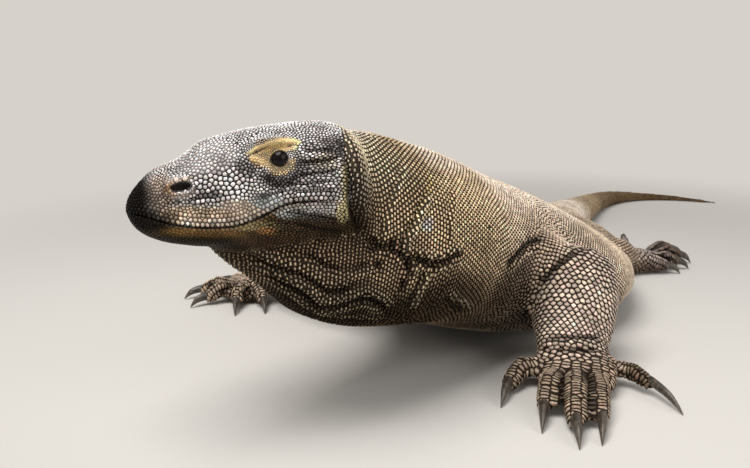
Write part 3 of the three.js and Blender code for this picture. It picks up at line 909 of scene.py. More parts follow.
def grain(points, labels, lie):
    """The length and width of the scales at points of the stance frame."""
    size = np.zeros((len(points), 2))
    for index, name in enumerate(FLESH):
        size[labels == index] = GRAINS[kind_of(name, GRAINS)]
        if name in FEET:
            size[(labels == index) & (lie.strand < TOES)] = TOE_GRAIN
    forearms = is_part(labels, ["forearm_left", "forearm_right"])
    neck = is_part(labels, ["neck"])
    # The wrists, the belly, the throat, the skin behind the jaw and the nape.
    for share, longer, wider in (
        (forearms * step_between(0.6, 0.95, lie.along), -2.8, -0.4),
        (is_part(labels, ["neck", "trunk"]) * step_between(60, 20, points[:, 2]), 1.2, 1.0),
        (neck * box_share(points, (-70, 700, 170), (90, 80, 50)), -1.3, -1.3),
        (neck * box_share(points, (-14, 680, 230), (26, 40, 50)), -1.5, -1.5),
        (neck * nape_share(points), 0.4, 0.4),
    ):
        size += share[:, None] * (longer, wider)
    head = is_part(labels, HEAD_NODES)
    if head.any():
        here = mirrored(to_head(points[head]))
        for centre, radii, length, width in HEAD_GRAINS:
            size[head] = blended(size[head], within(here, centre, radii), np.array((length, width)))
    return size


# ---- where the scales are rooted ------------------------------------------------------------------

CELL = 5.0  # edge of the grid's cells in millimetres
PITCH = 0.7  # how near two scales may be rooted, as a share of their length and width
SNUG_PITCH = 0.62  # the same round the lids and the nostrils
ROOT_SEED = 20
# The columns of the scales' table: root, the way the skin faces and the way the scale points, all in
# the stance frame; its length and width, its part, whether it may be moved, and the skin's vertex.
PLACE, NORMAL, WAY, SIZE = slice(0, 3), slice(3, 6), slice(6, 9), slice(9, 11)
LENGTH, WIDTH, LABEL, FREE, VERTEX = range(9, 14)


def cell_of(point):
    return tuple(int(math.floor(c / CELL)) for c in point)


class Roots:
    """The roots of all scales, in the stance frame, kept clear of each other as they are added."""

    def __init__(self, skin, body):
        mesh = skin.data
        self.points = into(STANCE, places_of(mesh))
        self.faces = faces_of(mesh)
        self.tree = tree_of(self.points, mesh)
        self.labels = body.labels(places_of(mesh))
        web = neighbours(mesh)
        blend = np.where(is_part(self.labels, HEAD_NODES), *GRAIN_BLEND)
        lie = Lie(self.points, self.labels)
        self.sizes = diffuse(grain(self.points, self.labels, lie), web, blend)
        self.ways = unit(diffuse(lie.way, web, blend))
        self.colours = part_colour(self.labels, web)
        self.bare = is_part(self.labels, HEAD_NODES) & openings(head_places(mesh))
        self.cells = {}
        self.rows = []
        self.rng = np.random.default_rng(ROOT_SEED)

    def nearest(self, point):
        """The skin nearest to a point: the place, the way it faces and its vertex."""
        place, normal, face, _ = self.tree.find_nearest(Vector(point))
        return place, normal, self.faces[face][0]

    def has_room(self, point, normal, way, length, width, keep):
        """Whether a scale of this size has room, measured in lengths and widths."""
        span = int(math.ceil(keep * max(length, width) / CELL))
        across = normal.cross(way)
        limit = keep * keep
        for cell in product(*(range(c - span, c + span + 1) for c in cell_of(point))):
            for other, other_length, other_width in self.cells.get(cell, ()):
                gap = other - point
                a = 2 * gap.dot(way) / (length + other_length)
                mean_width = (width + other_width) / 2
                b = gap.dot(across) / mean_width
                c = gap.dot(normal) / mean_width
                if a * a + b * b + c * c < limit:
                    return False
        return True

    def add(self, point, way=None, size=None, keep=PITCH, wanted=None, free=False):
        """Roots one scale on the skin nearest to a point, if there is room for it."""
        place, normal, vertex = self.nearest(point)
        label = self.labels[vertex]
        if self.bare[vertex] or wanted is not None and label not in wanted:
            return
        way = Vector(self.ways[vertex] if way is None else way)
        way = (way - way.dot(normal) * normal).normalized()
        length, width = self.sizes[vertex] if size is None else size
        if not self.has_room(place, normal, way, length, width, keep):
            return
        self.cells.setdefault(cell_of(place), []).append((place, length, width))
        self.rows.append((*place, *normal, *way, length, width, label, free, vertex))


RAYS = 96  # round each ring
BEND = 12  # over how many millimetres a line's bend is measured
ROW_STEP = 0.866  # rows in honeycomb order are this share of a scale apart
ROW_JITTER = 0.04  # how far a scale is off its place in a row, as a share of its width
USUAL_LENGTH = 6.0  # of a scale, where a ring meets no skin
MOST_STRETCH = 1.6  # how many times as close the rings may be, for the outside of a bend


def outline_round(roots, centre, way, top, reach):
    """The skin's outline round a point of a line, from its top, down each of its two sides."""
    side = unit(np.cross(np.array(top, float), way))
    up = np.cross(way, side)
    sides = []
    for sign in (1, -1):
        hits = []
        for turn in np.linspace(0, math.pi, RAYS // 2 + 1):
            ray = math.cos(turn) * up + sign * math.sin(turn) * side
            place = roots.tree.ray_cast(Vector(centre), Vector(ray), reach)[0]
            hits.append(None if place is None else np.array(place))
        sides.append(hits)
    return sides


def grow_rings(roots, line, names, top, reach, stagger=True):
    """Rows of scales round a line, each half a scale on from the last, a scale apart outside bends."""
    wanted = [FLESH.index(name) for name in names]
    fine = smooth_line(line, 1.0)
    place = 0.0
    row = 0
    runs = unit(fine[BEND:] - fine[:-BEND])
    while place < len(fine) - 1:
        centre = fine[int(place)]
        behind, ahead = (runs[max(0, min(int(place) + k, len(runs) - 1))] for k in (-2 * BEND, BEND))
        way = unit(behind + ahead)
        lengths = []
        stretch = 1.0
        for sign, hits in enumerate(outline_round(roots, centre, way, top, reach)):
            start = 0.5 if stagger and row % 2 else float(sign)
            lengths += place_row(roots, hits, start, way, wanted, stagger)
            found = [hit - centre for hit in hits if hit is not None]
            stretch = max([stretch] + [1 - offset @ (ahead - behind) / (3 * BEND) for offset in found])
        length = float(np.median(lengths)) if lengths else USUAL_LENGTH
        place += ROW_STEP * length / min(stretch, MOST_STRETCH)
        row += 1


def place_row(roots, hits, start, way, wanted, free):
    """Scales a width apart down one side of a ring; gives back how long they are."""
    travelled = 0.0
    due = None
    lengths = []
    for before, after in zip(hits, hits[1:]):
        if before is None or after is None:
            continue
        span = np.linalg.norm(after - before)
        if due is None:
            due = start * roots.sizes[roots.nearest(before)[2]][1]
        while due < travelled + span:
            point = before + (after - before) * (due - travelled) / max(span, 1e-6)
            vertex = roots.nearest(point)[2]
            length, width = roots.sizes[vertex]
            if roots.labels[vertex] in wanted:
                lengths.append(length)
                jitter = roots.rng.normal(0, ROW_JITTER, 3) * width
                roots.add(point + jitter, way, (length, width), wanted=wanted, free=free)
            due += width
        travelled += span
    return lengths


# ---- rows of the head -----------------------------------------------------------------------------

BACKWARDS = np.array((-1.0, 0, 0))  # to the rear of the head, in its own frame
# Rows along the lips, and rings round the lids of an eye: how far up or out each one lies, and how
# long and wide its scales are.
LIP_ROWS = ((2.8, 4.6, 4.2), (-2.6, 4.2, 3.2), (7.0, 4.6, 4.2), (-5.8, 4.2, 3.2), (11.2, 4.4, 4.0))
LID_RINGS = ((0.9, 1.7, 1.4), (2.4, 1.9, 1.6), (4.1, 2.2, 1.9), (6.1, 2.5, 2.1), (8.3, 2.8, 2.3),
             (10.7, 3.0, 2.5))
NOSTRIL_RINGS = ((1.0, 2.4), (3.4, 3.2))  # how far out, and how long its scales are
NOSTRIL_KNOBS = ((166, 40, 26.0), (158, 40, 27.0))
LIDS_END = 1.9  # how far round the eyeball from the pupil its rings go, in radians
LIDS_FACE = 11.5  # about how far the lids' outer face is from the eyeball's centre
LIP_FRONT = 200  # the lips turn to the front of the snout past here
TEMPLE_GRAIN = (5.0, 2.8)  # length and width of the scales behind the eye


def add_on_head(roots, place, way, size, keep=PITCH):
    """One scale on each side of the head, from its place in the head frame."""
    for sign in (1, -1):
        side = np.array((1, sign, 1))
        point = into(STANCE, out_of(HEAD, place * side))
        run = turned(STANCE.inverted() @ HEAD, way * side)
        roots.add(point, run, size, keep)


def lip_rows(roots):
    """The plates along both lips: upper rows wide and squarish, lower rows finer."""
    line = smooth_line(LIP_LINE, 1.0)
    for shift, pitch, width in LIP_ROWS:
        for index in np.arange(2.0 + 0.5 * abs(shift), len(line) - 3, pitch):
            here = line[int(index)]
            run = unit(line[int(index) + 2] - line[int(index)])
            out = unit(np.array((0.35 * (here[0] > LIP_FRONT), here[1], 0.0)))
            up = np.cross(out, run)
            add_on_head(roots, here + shift * up, run, (pitch, width))


def turns_round(opening, out, pitch, start=0.0):
    """Turns that put scales a pitch apart on an ellipse this far out of an opening."""
    count = int(math.pi * (sum(opening) + 2 * out) / pitch)
    return [2 * math.pi * (step + start) / count for step in range(count)]


def eye_rows(roots):
    """Fine granules in rings round each eye, which grow away from the lids."""
    for out, pitch, width in LID_RINGS:
        for turn in turns_round(LID_OPENING, out, pitch, 0.5 * (out > 3)):
            x = LID_SHIFT + (LID_OPENING[0] + out) * math.cos(turn)
            y = (LID_OPENING[1] * (1 - LID_TAPER * math.cos(turn)) + out) * math.sin(turn)
            a, b = tilted(x, y, -LID_TILT)
            angle = math.hypot(a, b) / LID_RADIUS
            if angle > LIDS_END:
                continue
            ray = math.cos(angle) * EYE_AXIS + math.sin(angle) * unit(np.array((a, b))) @ (
                np.stack([EYE_FORWARD, EYE_UP]))
            run = -math.sin(turn) * EYE_FORWARD + math.cos(turn) * EYE_UP
            add_on_head(roots, EYE_PLACE + LIDS_FACE * ray, run, (pitch, width), SNUG_PITCH)


def nostril_rows(roots):
    """Two round knobs over each nostril, a ring of small scales round it and the line behind it."""
    for knob in NOSTRIL_KNOBS:
        add_on_head(roots, np.array(knob), BACKWARDS, (6.4, 5.6))
    for out, pitch in NOSTRIL_RINGS:
        for turn in turns_round(NOSTRIL_OPENING, out, pitch):
            x = (NOSTRIL_OPENING[0] + out) * math.cos(turn)
            y = (NOSTRIL_OPENING[1] + out) * math.sin(turn)
            u, w = tilted(x, y, -NOSTRIL_TILT)
            run = np.array((-math.sin(turn), 0, math.cos(turn)))
            add_on_head(roots, NOSTRIL_PLACE + (u, 3, w), run, (pitch, pitch * 0.9), SNUG_PITCH)
    start, end, pitch = 152, 112, 4.6
    for u in np.arange(start, end, -pitch):
        place = np.array((u, 44, 5 + 0.0035 * (start - u) ** 2))
        add_on_head(roots, place, BACKWARDS + (0, 0, 0.1), (pitch, 4.0))


def temple_rows(roots):
    """Long scales in wavy level rows behind the eye and over the corner of the mouth."""
    length, width = TEMPLE_GRAIN
    for row, w in enumerate(np.arange(14, 72, width)):
        for step in range(15):
            u = 72 - length * (step + 0.5 * (row % 2))
            round_the_eye = (u - 73) ** 2 / 24**2 + (w - 46) ** 2 / 20**2 < 1
            if round_the_eye or u < 6 + 0.1 * w:
                continue
            rise = 1.4 * math.sin(u / 8 + 0.8 * row) + 0.05 * (60 - u)
            add_on_head(roots, np.array((u, 62, w + rise)), BACKWARDS, TEMPLE_GRAIN)


# ---- filling and spreading ------------------------------------------------------------------------

HEAD_TRIES = 2.2  # how many times as many scales are thrown on the head, for its size
ORDER = 1.06  # how far apart scales push each other, as a share of their length and width
NEAREST = 7  # how many others push a scale
RENEWED = 3  # rounds after which its nearest others are looked for again
ONE_SIDE = 0.3  # scales push each other if they face the same way by this cosine
YIELD = 0.3  # the share of all pushes that a scale gives way to


def fill_gaps(roots, tries):
    """Throws scales at random on the skin, which stay where there is room."""
    corners = np.array([(face[0], face[second], face[second + 1])
                        for face in roots.faces for second in range(1, len(face) - 1)])
    owners = corners[:, 0]
    a, b, c = (roots.points[corners[:, k]] for k in range(3))
    area = np.linalg.norm(np.cross(b - a, c - a), axis=1) / 2
    denser = np.where(is_part(roots.labels[owners], HEAD_NODES), HEAD_TRIES, 1.0)
    share = denser * area / roots.sizes[owners].prod(axis=1)
    count = int(tries * share.sum())
    chosen = roots.rng.choice(len(share), count, p=share / share.sum())
    r = np.sqrt(roots.rng.random(count))[:, None]
    s = roots.rng.random(count)[:, None]
    places = (1 - r) * a[chosen] + r * (1 - s) * b[chosen] + r * s * c[chosen]
    for place in places:
        roots.add(place, free=True)


def nearest_rows(rows, count):
    """For each scale, which others are the nearest to it."""
    tree = KDTree(len(rows))
    for index, row in enumerate(rows):
        tree.insert(row[PLACE], index)
    tree.balance()
    return np.array([[hit[1] for hit in tree.find_n(row[PLACE], count + 1)[1:]] for row in rows])


def spread_out(roots, rounds):
    """Moves the scales apart a little at a time, until they lie evenly and in honeycomb order."""
    rows = np.array(roots.rows, float)
    free = np.flatnonzero(rows[:, FREE] > 0)
    for turn in range(rounds):
        if turn % RENEWED == 0:
            around = nearest_rows(rows, NEAREST)
        offset = rows[:, None, PLACE] - rows[around, PLACE]
        length = (rows[:, None, LENGTH] + rows[around, LENGTH]) / 2
        width = (rows[:, None, WIDTH] + rows[around, WIDTH]) / 2
        way = rows[:, None, WAY]
        across = np.cross(rows[:, NORMAL], rows[:, WAY])[:, None]
        a = (offset * way).sum(axis=2) / length
        b = (offset * across).sum(axis=2) / width
        gap = np.hypot(a, b)
        facing = (rows[:, None, NORMAL] * rows[around, NORMAL]).sum(axis=2) > ONE_SIDE
        push = facing * np.clip(ORDER - gap, 0, None) / np.maximum(gap, 0.1)
        move = (push * a * length)[:, :, None] * way + (push * b * width)[:, :, None] * across
        goal = rows[:, PLACE] + YIELD * move.sum(axis=1)
        for index in free:
            place, normal, vertex = roots.nearest(goal[index])
            if not roots.bare[vertex]:
                rows[index, PLACE] = place
                rows[index, NORMAL] = normal
                rows[index, VERTEX] = vertex
    lift = (rows[:, NORMAL] * rows[:, WAY]).sum(axis=1, keepdims=True)
    rows[:, WAY] = unit(rows[:, WAY] - lift * rows[:, NORMAL])
    return rows


TOE_REACH, SPINE_REACH = 21, 260  # how far round those lines their rings look for skin
LEG_REACHES = {"palm": 60, "lower": 75, "upper": 80}


def all_roots(skin, body, tries):
    """Roots every scale: rows on the head, rings round the toes, legs and spine, and then the gaps."""
    roots = Roots(skin, body)
    nostril_rows(roots)
    eye_rows(roots)
    lip_rows(roots)
    temple_rows(roots)
    for name, leg in LEGS.items():
        upper, lower, foot = nodes_of_leg(name)
        for toe in leg["toes"]:
            line = smooth_line(toe[:3], 4)
            line = np.vstack([line, 2 * line[-1:] - line[-3:-2]])
            grow_rings(roots, line, [foot], top_of(foot), TOE_REACH, False)
        for (key, reach), part in zip(LEG_REACHES.items(), (foot, lower, upper)):
            grow_rings(roots, leg[key], [part], top_of(part), reach)
    grow_rings(roots, SPINE_LINE, SPINE_NODES, (0, 0, 1), SPINE_REACH)
    fill_gaps(roots, tries)
    return roots


# ---- scale shapes ---------------------------------------------------------------------------------

# How a scale of each part stands: its height as a share of its width, how wide its top is as a share
# of its foot, and how far its rear edge lifts over the next one.
SHAPES = {
    "head": (0.28, 0.72, 0.15), "lower_jaw": (0.12, 0.84, 0.10), "neck": (0.34, 0.68, 0.15),
    "trunk": (0.30, 0.72, 0.25), "tail": (0.22, 0.80, 0.3), "upper_arm": (0.30, 0.74, 0.4),
    "forearm": (0.26, 0.87, 0.9), "thigh": (0.24, 0.80, 0.5), "shin": (0.24, 0.84, 0.6),
    "forefoot": (0.26, 0.90, 0.8), "hindfoot": (0.24, 0.90, 0.7),
}
SKIRT = 0.4  # how deep a scale's foot is sunk in the skin, in millimetres
PATCH = 0.0015  # half a scale's size on the bake map
WIDE = 7.5  # a scale wider than this is bent round the limb it lies on
LOWEST = 0.05  # no scale reaches down nearer to the floor than this
FOOT, SHOULDER, CROWN = range(3)  # the levels of a scale's corners
CROWD = 14  # how many of the scales round it may bound a scale
ONE_FACE = 0.2  # those of them that face the same way, by this cosine, do
FAR = 1e3  # farther than any scale reaches
REACH = 0.68  # how far a scale reaches where none bounds it, as a share of its length and width
LEAST = 0.45  # the least that any scale reaches
SHOULDER_HEIGHT = 0.72  # of a scale, as a share of its crown's height
LIFT, LEAN = 0.6, 0.22  # how far a tilted scale's rear edge lifts, and how far its top leans back
UNEVEN, HEAD_UNEVEN = 0.18, 0.26  # how much scales differ in lightness, on the body and on the head
HEART = 0.85  # how much darker the heart of a scale of the nape is than its rim


def dome(sides):
    """One scale as a closed dome of unit radius: foot, shoulder and crown."""
    shape = bmesh.new()
    bmesh.ops.create_cone(shape, cap_ends=True, segments=sides, radius1=1, radius2=0.6, depth=1)
    bmesh.ops.translate(shape, verts=shape.verts, vec=(0, 0, 0.5))
    top = max(shape.faces, key=lambda face: face.calc_center_median().z)
    bmesh.ops.poke(shape, faces=[top])
    bmesh.ops.recalc_face_normals(shape, faces=shape.faces)
    verts = np.array([vert.co for vert in shape.verts])
    faces = [[vert.index for vert in face.verts] for face in shape.faces]
    shape.free()
    turn = np.arctan2(verts[:, 1], verts[:, 0])
    ring = np.round(turn / (2 * math.pi / sides)).astype(int) % sides
    radius = np.hypot(verts[:, 0], verts[:, 1])
    level = np.where(radius < 0.1, CROWN, np.where(verts[:, 2] > 0.5, SHOULDER, FOOT))
    return ring, level, faces


def fan_of(rows, sides):
    """Which way each corner of a scale lies, as its shares along and across; wider on wide scales."""
    turns = np.arange(sides) * 2 * math.pi / sides
    along = np.cos(turns) * rows[:, LENGTH, None]
    across = np.sin(turns) * rows[:, WIDTH, None]
    size = np.hypot(along, across)
    return along / size, across / size


def outlines(rows, sides, gaps):
    """How far each scale reaches each way before it meets the ones around it."""
    around = nearest_rows(rows, CROWD)
    points, normals, ways = rows[:, PLACE], rows[:, NORMAL], rows[:, WAY]
    side = np.cross(normals, ways)
    along, across = fan_of(rows, sides)
    fan = along[:, :, None] * ways[:, None] + across[:, :, None] * side[:, None]
    offset = points[around] - points[:, None]
    reach = np.einsum("nkc,nsc->nks", offset, fan)
    radius = rows[:, SIZE].mean(axis=1) / 2
    span = (offset**2).sum(axis=2) + radius[:, None] ** 2 - radius[around] ** 2
    facing = np.einsum("nc,nkc->nk", normals, normals[around]) > ONE_FACE
    bounding = (reach > 1e-3) & facing[:, :, None]
    limit = np.where(bounding, 0.5 * span[:, :, None] / np.maximum(reach, 1e-3), FAR)
    own = REACH / np.hypot(along / rows[:, LENGTH, None], across / rows[:, WIDTH, None])
    return np.clip(np.minimum(limit.min(axis=1), own) - gaps[:, None] / 2, LEAST, None)


def labels_of(rows):
    return rows[:, LABEL].astype(int)


def dark_hearts(rows):
    """How much a scale is pale only round its rim, as those of the nape are."""
    return is_part(labels_of(rows), ["neck"]) * nape_share(rows[:, PLACE])


def drape(flat, rows, lift, tree):
    """Bends the wide scales round the limb, so that they stand off it evenly."""
    places = flat + lift[:, :, None] * rows[:, None, NORMAL]
    for index in np.flatnonzero(rows[:, WIDTH] > WIDE):
        for corner, point in enumerate(flat[index]):
            place, normal, _, _ = tree.find_nearest(Vector(point))
            places[index, corner] = place + float(lift[index, corner]) * normal
    return places


def by_level(level, foot, shoulder, crown):
    return np.where(level == FOOT, foot, np.where(level == SHOULDER, shoulder, crown))


def grow_scales(name, rows, reach, base, sides, rng, tree):
    """One mesh of all the given scales, with their colours and their places on the bake map."""
    ring, level, faces = dome(sides)
    size = len(rows)
    labels = labels_of(rows)
    stand, top, tilt = np.array([SHAPES[kind_of(FLESH[label], SHAPES)] for label in labels]).T[:, :, None]
    height = stand[:, 0] * rows[:, SIZE].min(axis=1) * rng.uniform(0.85, 1.15, size)
    height = height[:, None]
    normals, ways = rows[:, NORMAL], rows[:, WAY]
    across = np.cross(normals, ways)
    fan_along, fan_across = (part[:, ring] for part in fan_of(rows, sides))
    spread = reach[:, ring] * by_level(level, 1.0, top, 0.0)
    lift = by_level(level, -SKIRT, SHOULDER_HEIGHT * height, height)
    lift += (level == SHOULDER) * tilt * fan_along * height * LIFT
    lean = (level > FOOT) * tilt * LEAN * rows[:, LENGTH, None]
    flat = rows[:, None, PLACE] + (spread * fan_along + lean)[:, :, None] * ways[:, None]
    flat += (spread * fan_across)[:, :, None] * across[:, None]
    places = drape(flat, rows, lift, tree)
    places[:, :, 2] = np.maximum(places[:, :, 2], LOWEST)
    mesh = mesh_of_copies(name, out_of(STANCE, places.reshape(-1, 3)), faces, size)
    soft = soft_share(mirrored(to_head(rows[:, PLACE])), labels)[:, None]
    tint = hide_colour(rows[:, PLACE], normals, labels, base)
    uneven = np.where(is_part(labels, ["head"])[:, None], HEAD_UNEVEN * (1 - 0.7 * soft), UNEVEN)
    tint = tint * np.exp(uneven * rng.normal(size=(size, 1))) * (1 + rng.normal(0, 0.03, (size, 3)))
    hearts = 1 - HEART * dark_hearts(rows)[:, None, None] * (level == CROWN)[None, :, None]
    # Low values at a scale's foot darken its flanks to the gap's colour: painted shade between the scales,
    # less where the hide is smooth.
    crown = by_level(level, 0.6 * soft, 0.8, 1.0)
    add_attributes(mesh, (tint[:, None] * hearts).reshape(-1, 3), crown.ravel())
    turns = ring * 2 * math.pi / sides
    patch = np.stack([np.cos(turns), np.sin(turns)], axis=1) * by_level(level, 1.0, 0.5, 0.0)[:, None]
    add_bake_map(mesh, (bake_places(rows)[:, None] + PATCH * patch[None]).reshape(-1, 2))
    return new_object(name, mesh)


def mesh_of_copies(name, places, faces, copies):
    """A mesh of many copies of one set of faces."""
    per_copy = len(places) // copies
    flat = np.concatenate([np.array(face) for face in faces])
    starts = np.cumsum([0] + [len(face) for face in faces[:-1]])
    shift = np.arange(copies)[:, None]
    mesh = bpy.data.meshes.new(name)
    mesh.vertices.add(len(places))
    mesh.loops.add(len(flat) * copies)
    mesh.polygons.add(len(faces) * copies)
    mesh.vertices.foreach_set("co", places.ravel())
    mesh.loops.foreach_set("vertex_index", (flat[None] + shift * per_copy).ravel())
    mesh.polygons.foreach_set("loop_start", (starts[None] + shift * len(flat)).ravel())
    mesh.update(calc_edges=True)
    mesh.validate()
    mesh.shade_smooth()
    return mesh


def add_attributes(mesh, tint, crown):
    colour = mesh.attributes.new("tint", "FLOAT_COLOR", "POINT")
    full = np.hstack([np.clip(tint, 0, 1), np.ones((len(tint), 1))])
    colour.data.foreach_set("color", full.ravel())
    add_value(mesh, "crown", crown)


def add_value(mesh, name, values):
    mesh.attributes.new(name, "FLOAT", "POINT").data.foreach_set("value", values.astype(float))


STRANDS = 8  # more lines than the scales of one part follow


def bake_places(rows):
    """Each root's place on an unwrap of its own stretch of body, all stretches side by side."""
    labels = labels_of(rows)
    lie = Lie(rows[:, PLACE], labels)
    strand = labels * STRANDS + lie.strand
    kinds = np.unique(strand)
    places = np.zeros((len(rows), 2))
    for column, kind in enumerate(kinds):
        here = strand == kind
        low, high = lie.along[here].min(), lie.along[here].max()
        along = (lie.along[here] - low) / max(high - low, 1e-6)
        round_it = lie.turn[here] / (2 * math.pi) + 0.5
        places[here, 0] = (column + 0.03 + 0.94 * round_it) / len(kinds)
        places[here, 1] = 0.01 + 0.98 * along
    return places


def add_bake_map(mesh, corner):
    layer = mesh.uv_layers.new(name="OFBake")
    index = np.empty(len(mesh.loops), int)
    mesh.loops.foreach_get("vertex_index", index)
    layer.data.foreach_set("uv", corner[index].ravel())


# ---- colours --------------------------------------------------------------------------------------

def linear(hex_colour, alpha=1.0):
    """An sRGB hex value as linear red, green, blue and alpha."""
    channels = [int(hex_colour[i : i + 2], 16) / 255 for i in (1, 3, 5)]
    toned = [c / 12.92 if c <= 0.04045 else ((c + 0.055) / 1.055) ** 2.4 for c in channels]
    return (*toned, alpha)


# Colours of the scales' crowns.
# The near-black tint serves only as painted shade: in grooves, pits, openings, round the lids, on the
# snout's tip and under the jaws and throat.
TINTS = {
    "bone": "#e2dad6", "ash": "#ddd4d0", "soot": "#0c0806", "lip": "#e2c6a6", "olive": "#4a3b20",
    "gold": "#ffdc98", "cream": "#efd9b4", "straw": "#e6c79c", "umber": "#3e2f21", "shell": "#efd9c4",
    "fawn": "#dfc6aa", "clay": "#b3967a", "stone": "#dac4b2", "mud": "#ae9780", "peat": "#4c3826",
    "bark": "#8f7350", "rust": "#a8743f", "frost": "#c4cac8", "lemon": "#d2c08c", "slate": "#5a5150",
    "scar": "#f0e4dc", "amber": "#a57b42", "dun": "#b89c76", "dusk": "#94857c",
}
PART_TINTS = {
    "head": "bone", "lower_jaw": "olive", "neck": "straw", "trunk": "fawn", "tail": "bark",
    "tail_1": "shell", "tail_2": "dun", "upper_arm": "clay", "forearm": "stone", "forefoot": "mud",
    "thigh": "fawn", "shin": "clay", "hindfoot": "dusk",
}
# Washes of colour laid over those, in order: centre, radii, tint and strength.
HEAD_WASHES = [
    ((40, 56, 22), (44, 24, 34), "ash", 0.8),
    ((26, 40, 70), (26, 30, 16), "ash", 0.8),
    ((150, 38, -9), (50, 24, 11), "lip", 0.95),
    ((108, 46, -2), (26, 16, 11), "lip", 0.7),
    ((182, 30, 12), (20, 24, 20), "clay", 0.7),
    ((188, 0, 36), (26, 40, 14), "clay", 0.15),
    # The snout's tip and chin, darkened to black: painted shade.
    ((210, 0, -4), (42, 50, 42), "soot", 1.0),
    ((192, 20, -16), (32, 30, 14), "soot", 0.9),
    ((170, 34, -12), (8, 20, 7), "umber", 0.55),
    ((142, 40, -6), (7, 20, 6), "umber", 0.4),
    ((118, 44, -9), (8, 20, 5), "umber", 0.4),
    ((156, 38, -16), (9, 20, 5), "bone", 0.4),
    ((129, 43, -14), (9, 20, 5), "bone", 0.45),
    ((74, 54, 28), (22, 16, 10), "slate", 0.9),
    ((56, 52, 40), (9, 12, 16), "slate", 0.7),
    ((104, 44, 38), (12, 14, 12), "slate", 0.7),
    ((24, 54, 62), (18, 20, 14), "slate", 0.8),
    ((46, 52, 58), (9, 16, 7), "umber", 0.65),
    ((32, 52, 64), (15, 16, 2.6), "umber", 0.6),
    ((31, 52, 55), (16, 16, 2.2), "umber", 0.6),
    ((60, 50, 68), (14, 16, 2.6), "umber", 0.35),
    ((84, 52, 7), (20, 12, 9), "frost", 0.85),
    ((66, 55, -4), (14, 14, 6), "frost", 0.6),
    ((34, 56, 46), (16, 12, 9), "lemon", 0.45),
    ((12, 58, 30), (6, 12, 40), "lemon", 0.9),
    ((14, 57, -2), (8, 12, 14), "lemon", 0.7),
    ((146, 42, -25), (44, 20, 6), "amber", 0.35),
    ((98, 47, -17), (40, 14, 6), "lemon", 0.3),
    ((84, 49, -22), (11, 10, 5), "rust", 0.8),
    # Black under the jaws: painted shade.
    ((150, 20, -42), (84, 46, 17), "soot", 0.8),
    ((40, 52, -16), (40, 20, 14), "umber", 0.8),
    # Peat under the rear of the lower jaw: painted shade.
    ((60, 40, -36), (60, 24, 14), "peat", 0.8),
    ((-6, 0, 66), (18, 70, 60), "clay", 0.55),
]
BODY_WASHES = [
    ((0, 700, 300), (80, 70, 44), "cream", 0.8),
    ((0, 740, 330), (50, 60, 20), "bone", 0.5),
    ((-10, 668, 260), (26, 30, 60), "umber", 0.45),
    ((-60, 670, 190), (90, 50, 40), "clay", 0.8),
    ((30, 705, 195), (40, 40, 34), "clay", 0.7),
    # These five, low on the throat and chest, darken them with umber and black: painted shade.
    ((-60, 690, 145), (120, 70, 44), "umber", 0.9),
    ((-30, 700, 120), (150, 80, 44), "soot", 0.4),
    ((60, 760, 130), (110, 90, 46), "umber", 0.85),
    ((130, 860, 90), (100, 90, 66), "umber", 0.7),
    ((170, 850, 120), (60, 60, 40), "umber", 0.5),
    ((60, 860, 290), (90, 100, 40), "shell", 0.8),
    ((140, 960, 240), (120, 120, 60), "shell", 0.8),
    ((220, 1100, 190), (150, 160, 70), "shell", 0.8),
    ((55, 719, 227), (10, 14, 8), "scar", 0.95),
    ((330, 1360, 110), (80, 110, 36), "shell", 0.95),
    ((330, 790, 25), (26, 60, 40), "peat", 0.8),
    ((610, 1380, 20), (60, 80, 50), "peat", 0.75),
    ((520, 1300, 18), (80, 30, 16), "peat", 0.6),
]
# Stripes of colour: a line, half its width, tint and strength.
HEAD_STRIPES = [
    ([(106, 40, 49), (98, 43, 52), (90, 45, 55), (80, 46, 59), (70, 44, 62), (60, 43, 63), (53, 45, 64)],
     5.4, "gold", 0.9),
    # Darker along the lips: painted shade.
    (LIP_LINE[4:], 5.0, "bark", 0.35),
    ([(102, 42, 45), (94, 46, 47), (87, 48, 50.5), (78, 49, 55), (67, 47, 57), (58, 46, 58)],
     4.4, "gold", 0.8),
    ([(102, 42, 48), (96, 44, 46), (89, 46, 44), (84, 48, 42)], 5.2, "gold", 0.8),
    # Brown along the brow's fold line: painted shade in the fold.
    ([(105, 42, 48), (98, 44, 48.5), (90, 46, 51)], 1.5, "amber", 0.6),
    ([(102, 42, 45), (95, 45, 42), (88, 48, 39)], 3.0, "amber", 0.5),
    ([(87, 46, 43), (83, 48, 40), (80, 50, 36)], 2.4, "umber", 0.7),
    # These two darken the temple's folds along their grooves: painted shade.
    ([(54, 50, 44), (44, 53, 46), (30, 55, 48), (18, 55, 51)], 2.8, "umber", 0.65),
    ([(58, 52, 32), (46, 56, 35), (33, 58, 37), (18, 59, 41)], 2.4, "umber", 0.5),
    ([(108, 38, 53), (96, 42, 58), (84, 44, 64), (70, 42, 69), (52, 43, 70)], 3.0, "cream", 0.6),
    ([(149, 40, 18), (155, 41, 24), (163, 41, 25.5), (172, 40, 20), (175, 39, 15), (169, 40, 10),
      (160, 40, 9), (152, 40, 12), (149, 40, 18)], 2.6, "rust", 0.6),
    ([(176, 38, 22), (179, 37, 10), (170, 40, 2), (158, 41, 1)], 5.0, "peat", 0.5),
    ([(172, 40, 26), (163, 40, 27), (156, 38, 28), (150, 38, 26)], 4.5, "clay", 0.9),
]
BODY_STRIPES = [
    ([(62, 761, 276), (57, 739, 260), (49, 720, 248), (38, 705, 229), (30, 695, 216)], 4.0, "gold", 0.75),
]


def washed(colour, points, part, washes, stripes, tints):
    """Lays patches and stripes of colour over the scales of one part."""
    for centre, radii, tint, strength in washes:
        colour = blended(colour, strength * part * within(points, centre, radii, 0.55), tints[tint])
    for line, half_width, tint, strength in stripes:
        colour = blended(colour, strength * part * on_stripe(points, line, half_width), tints[tint])
    return colour


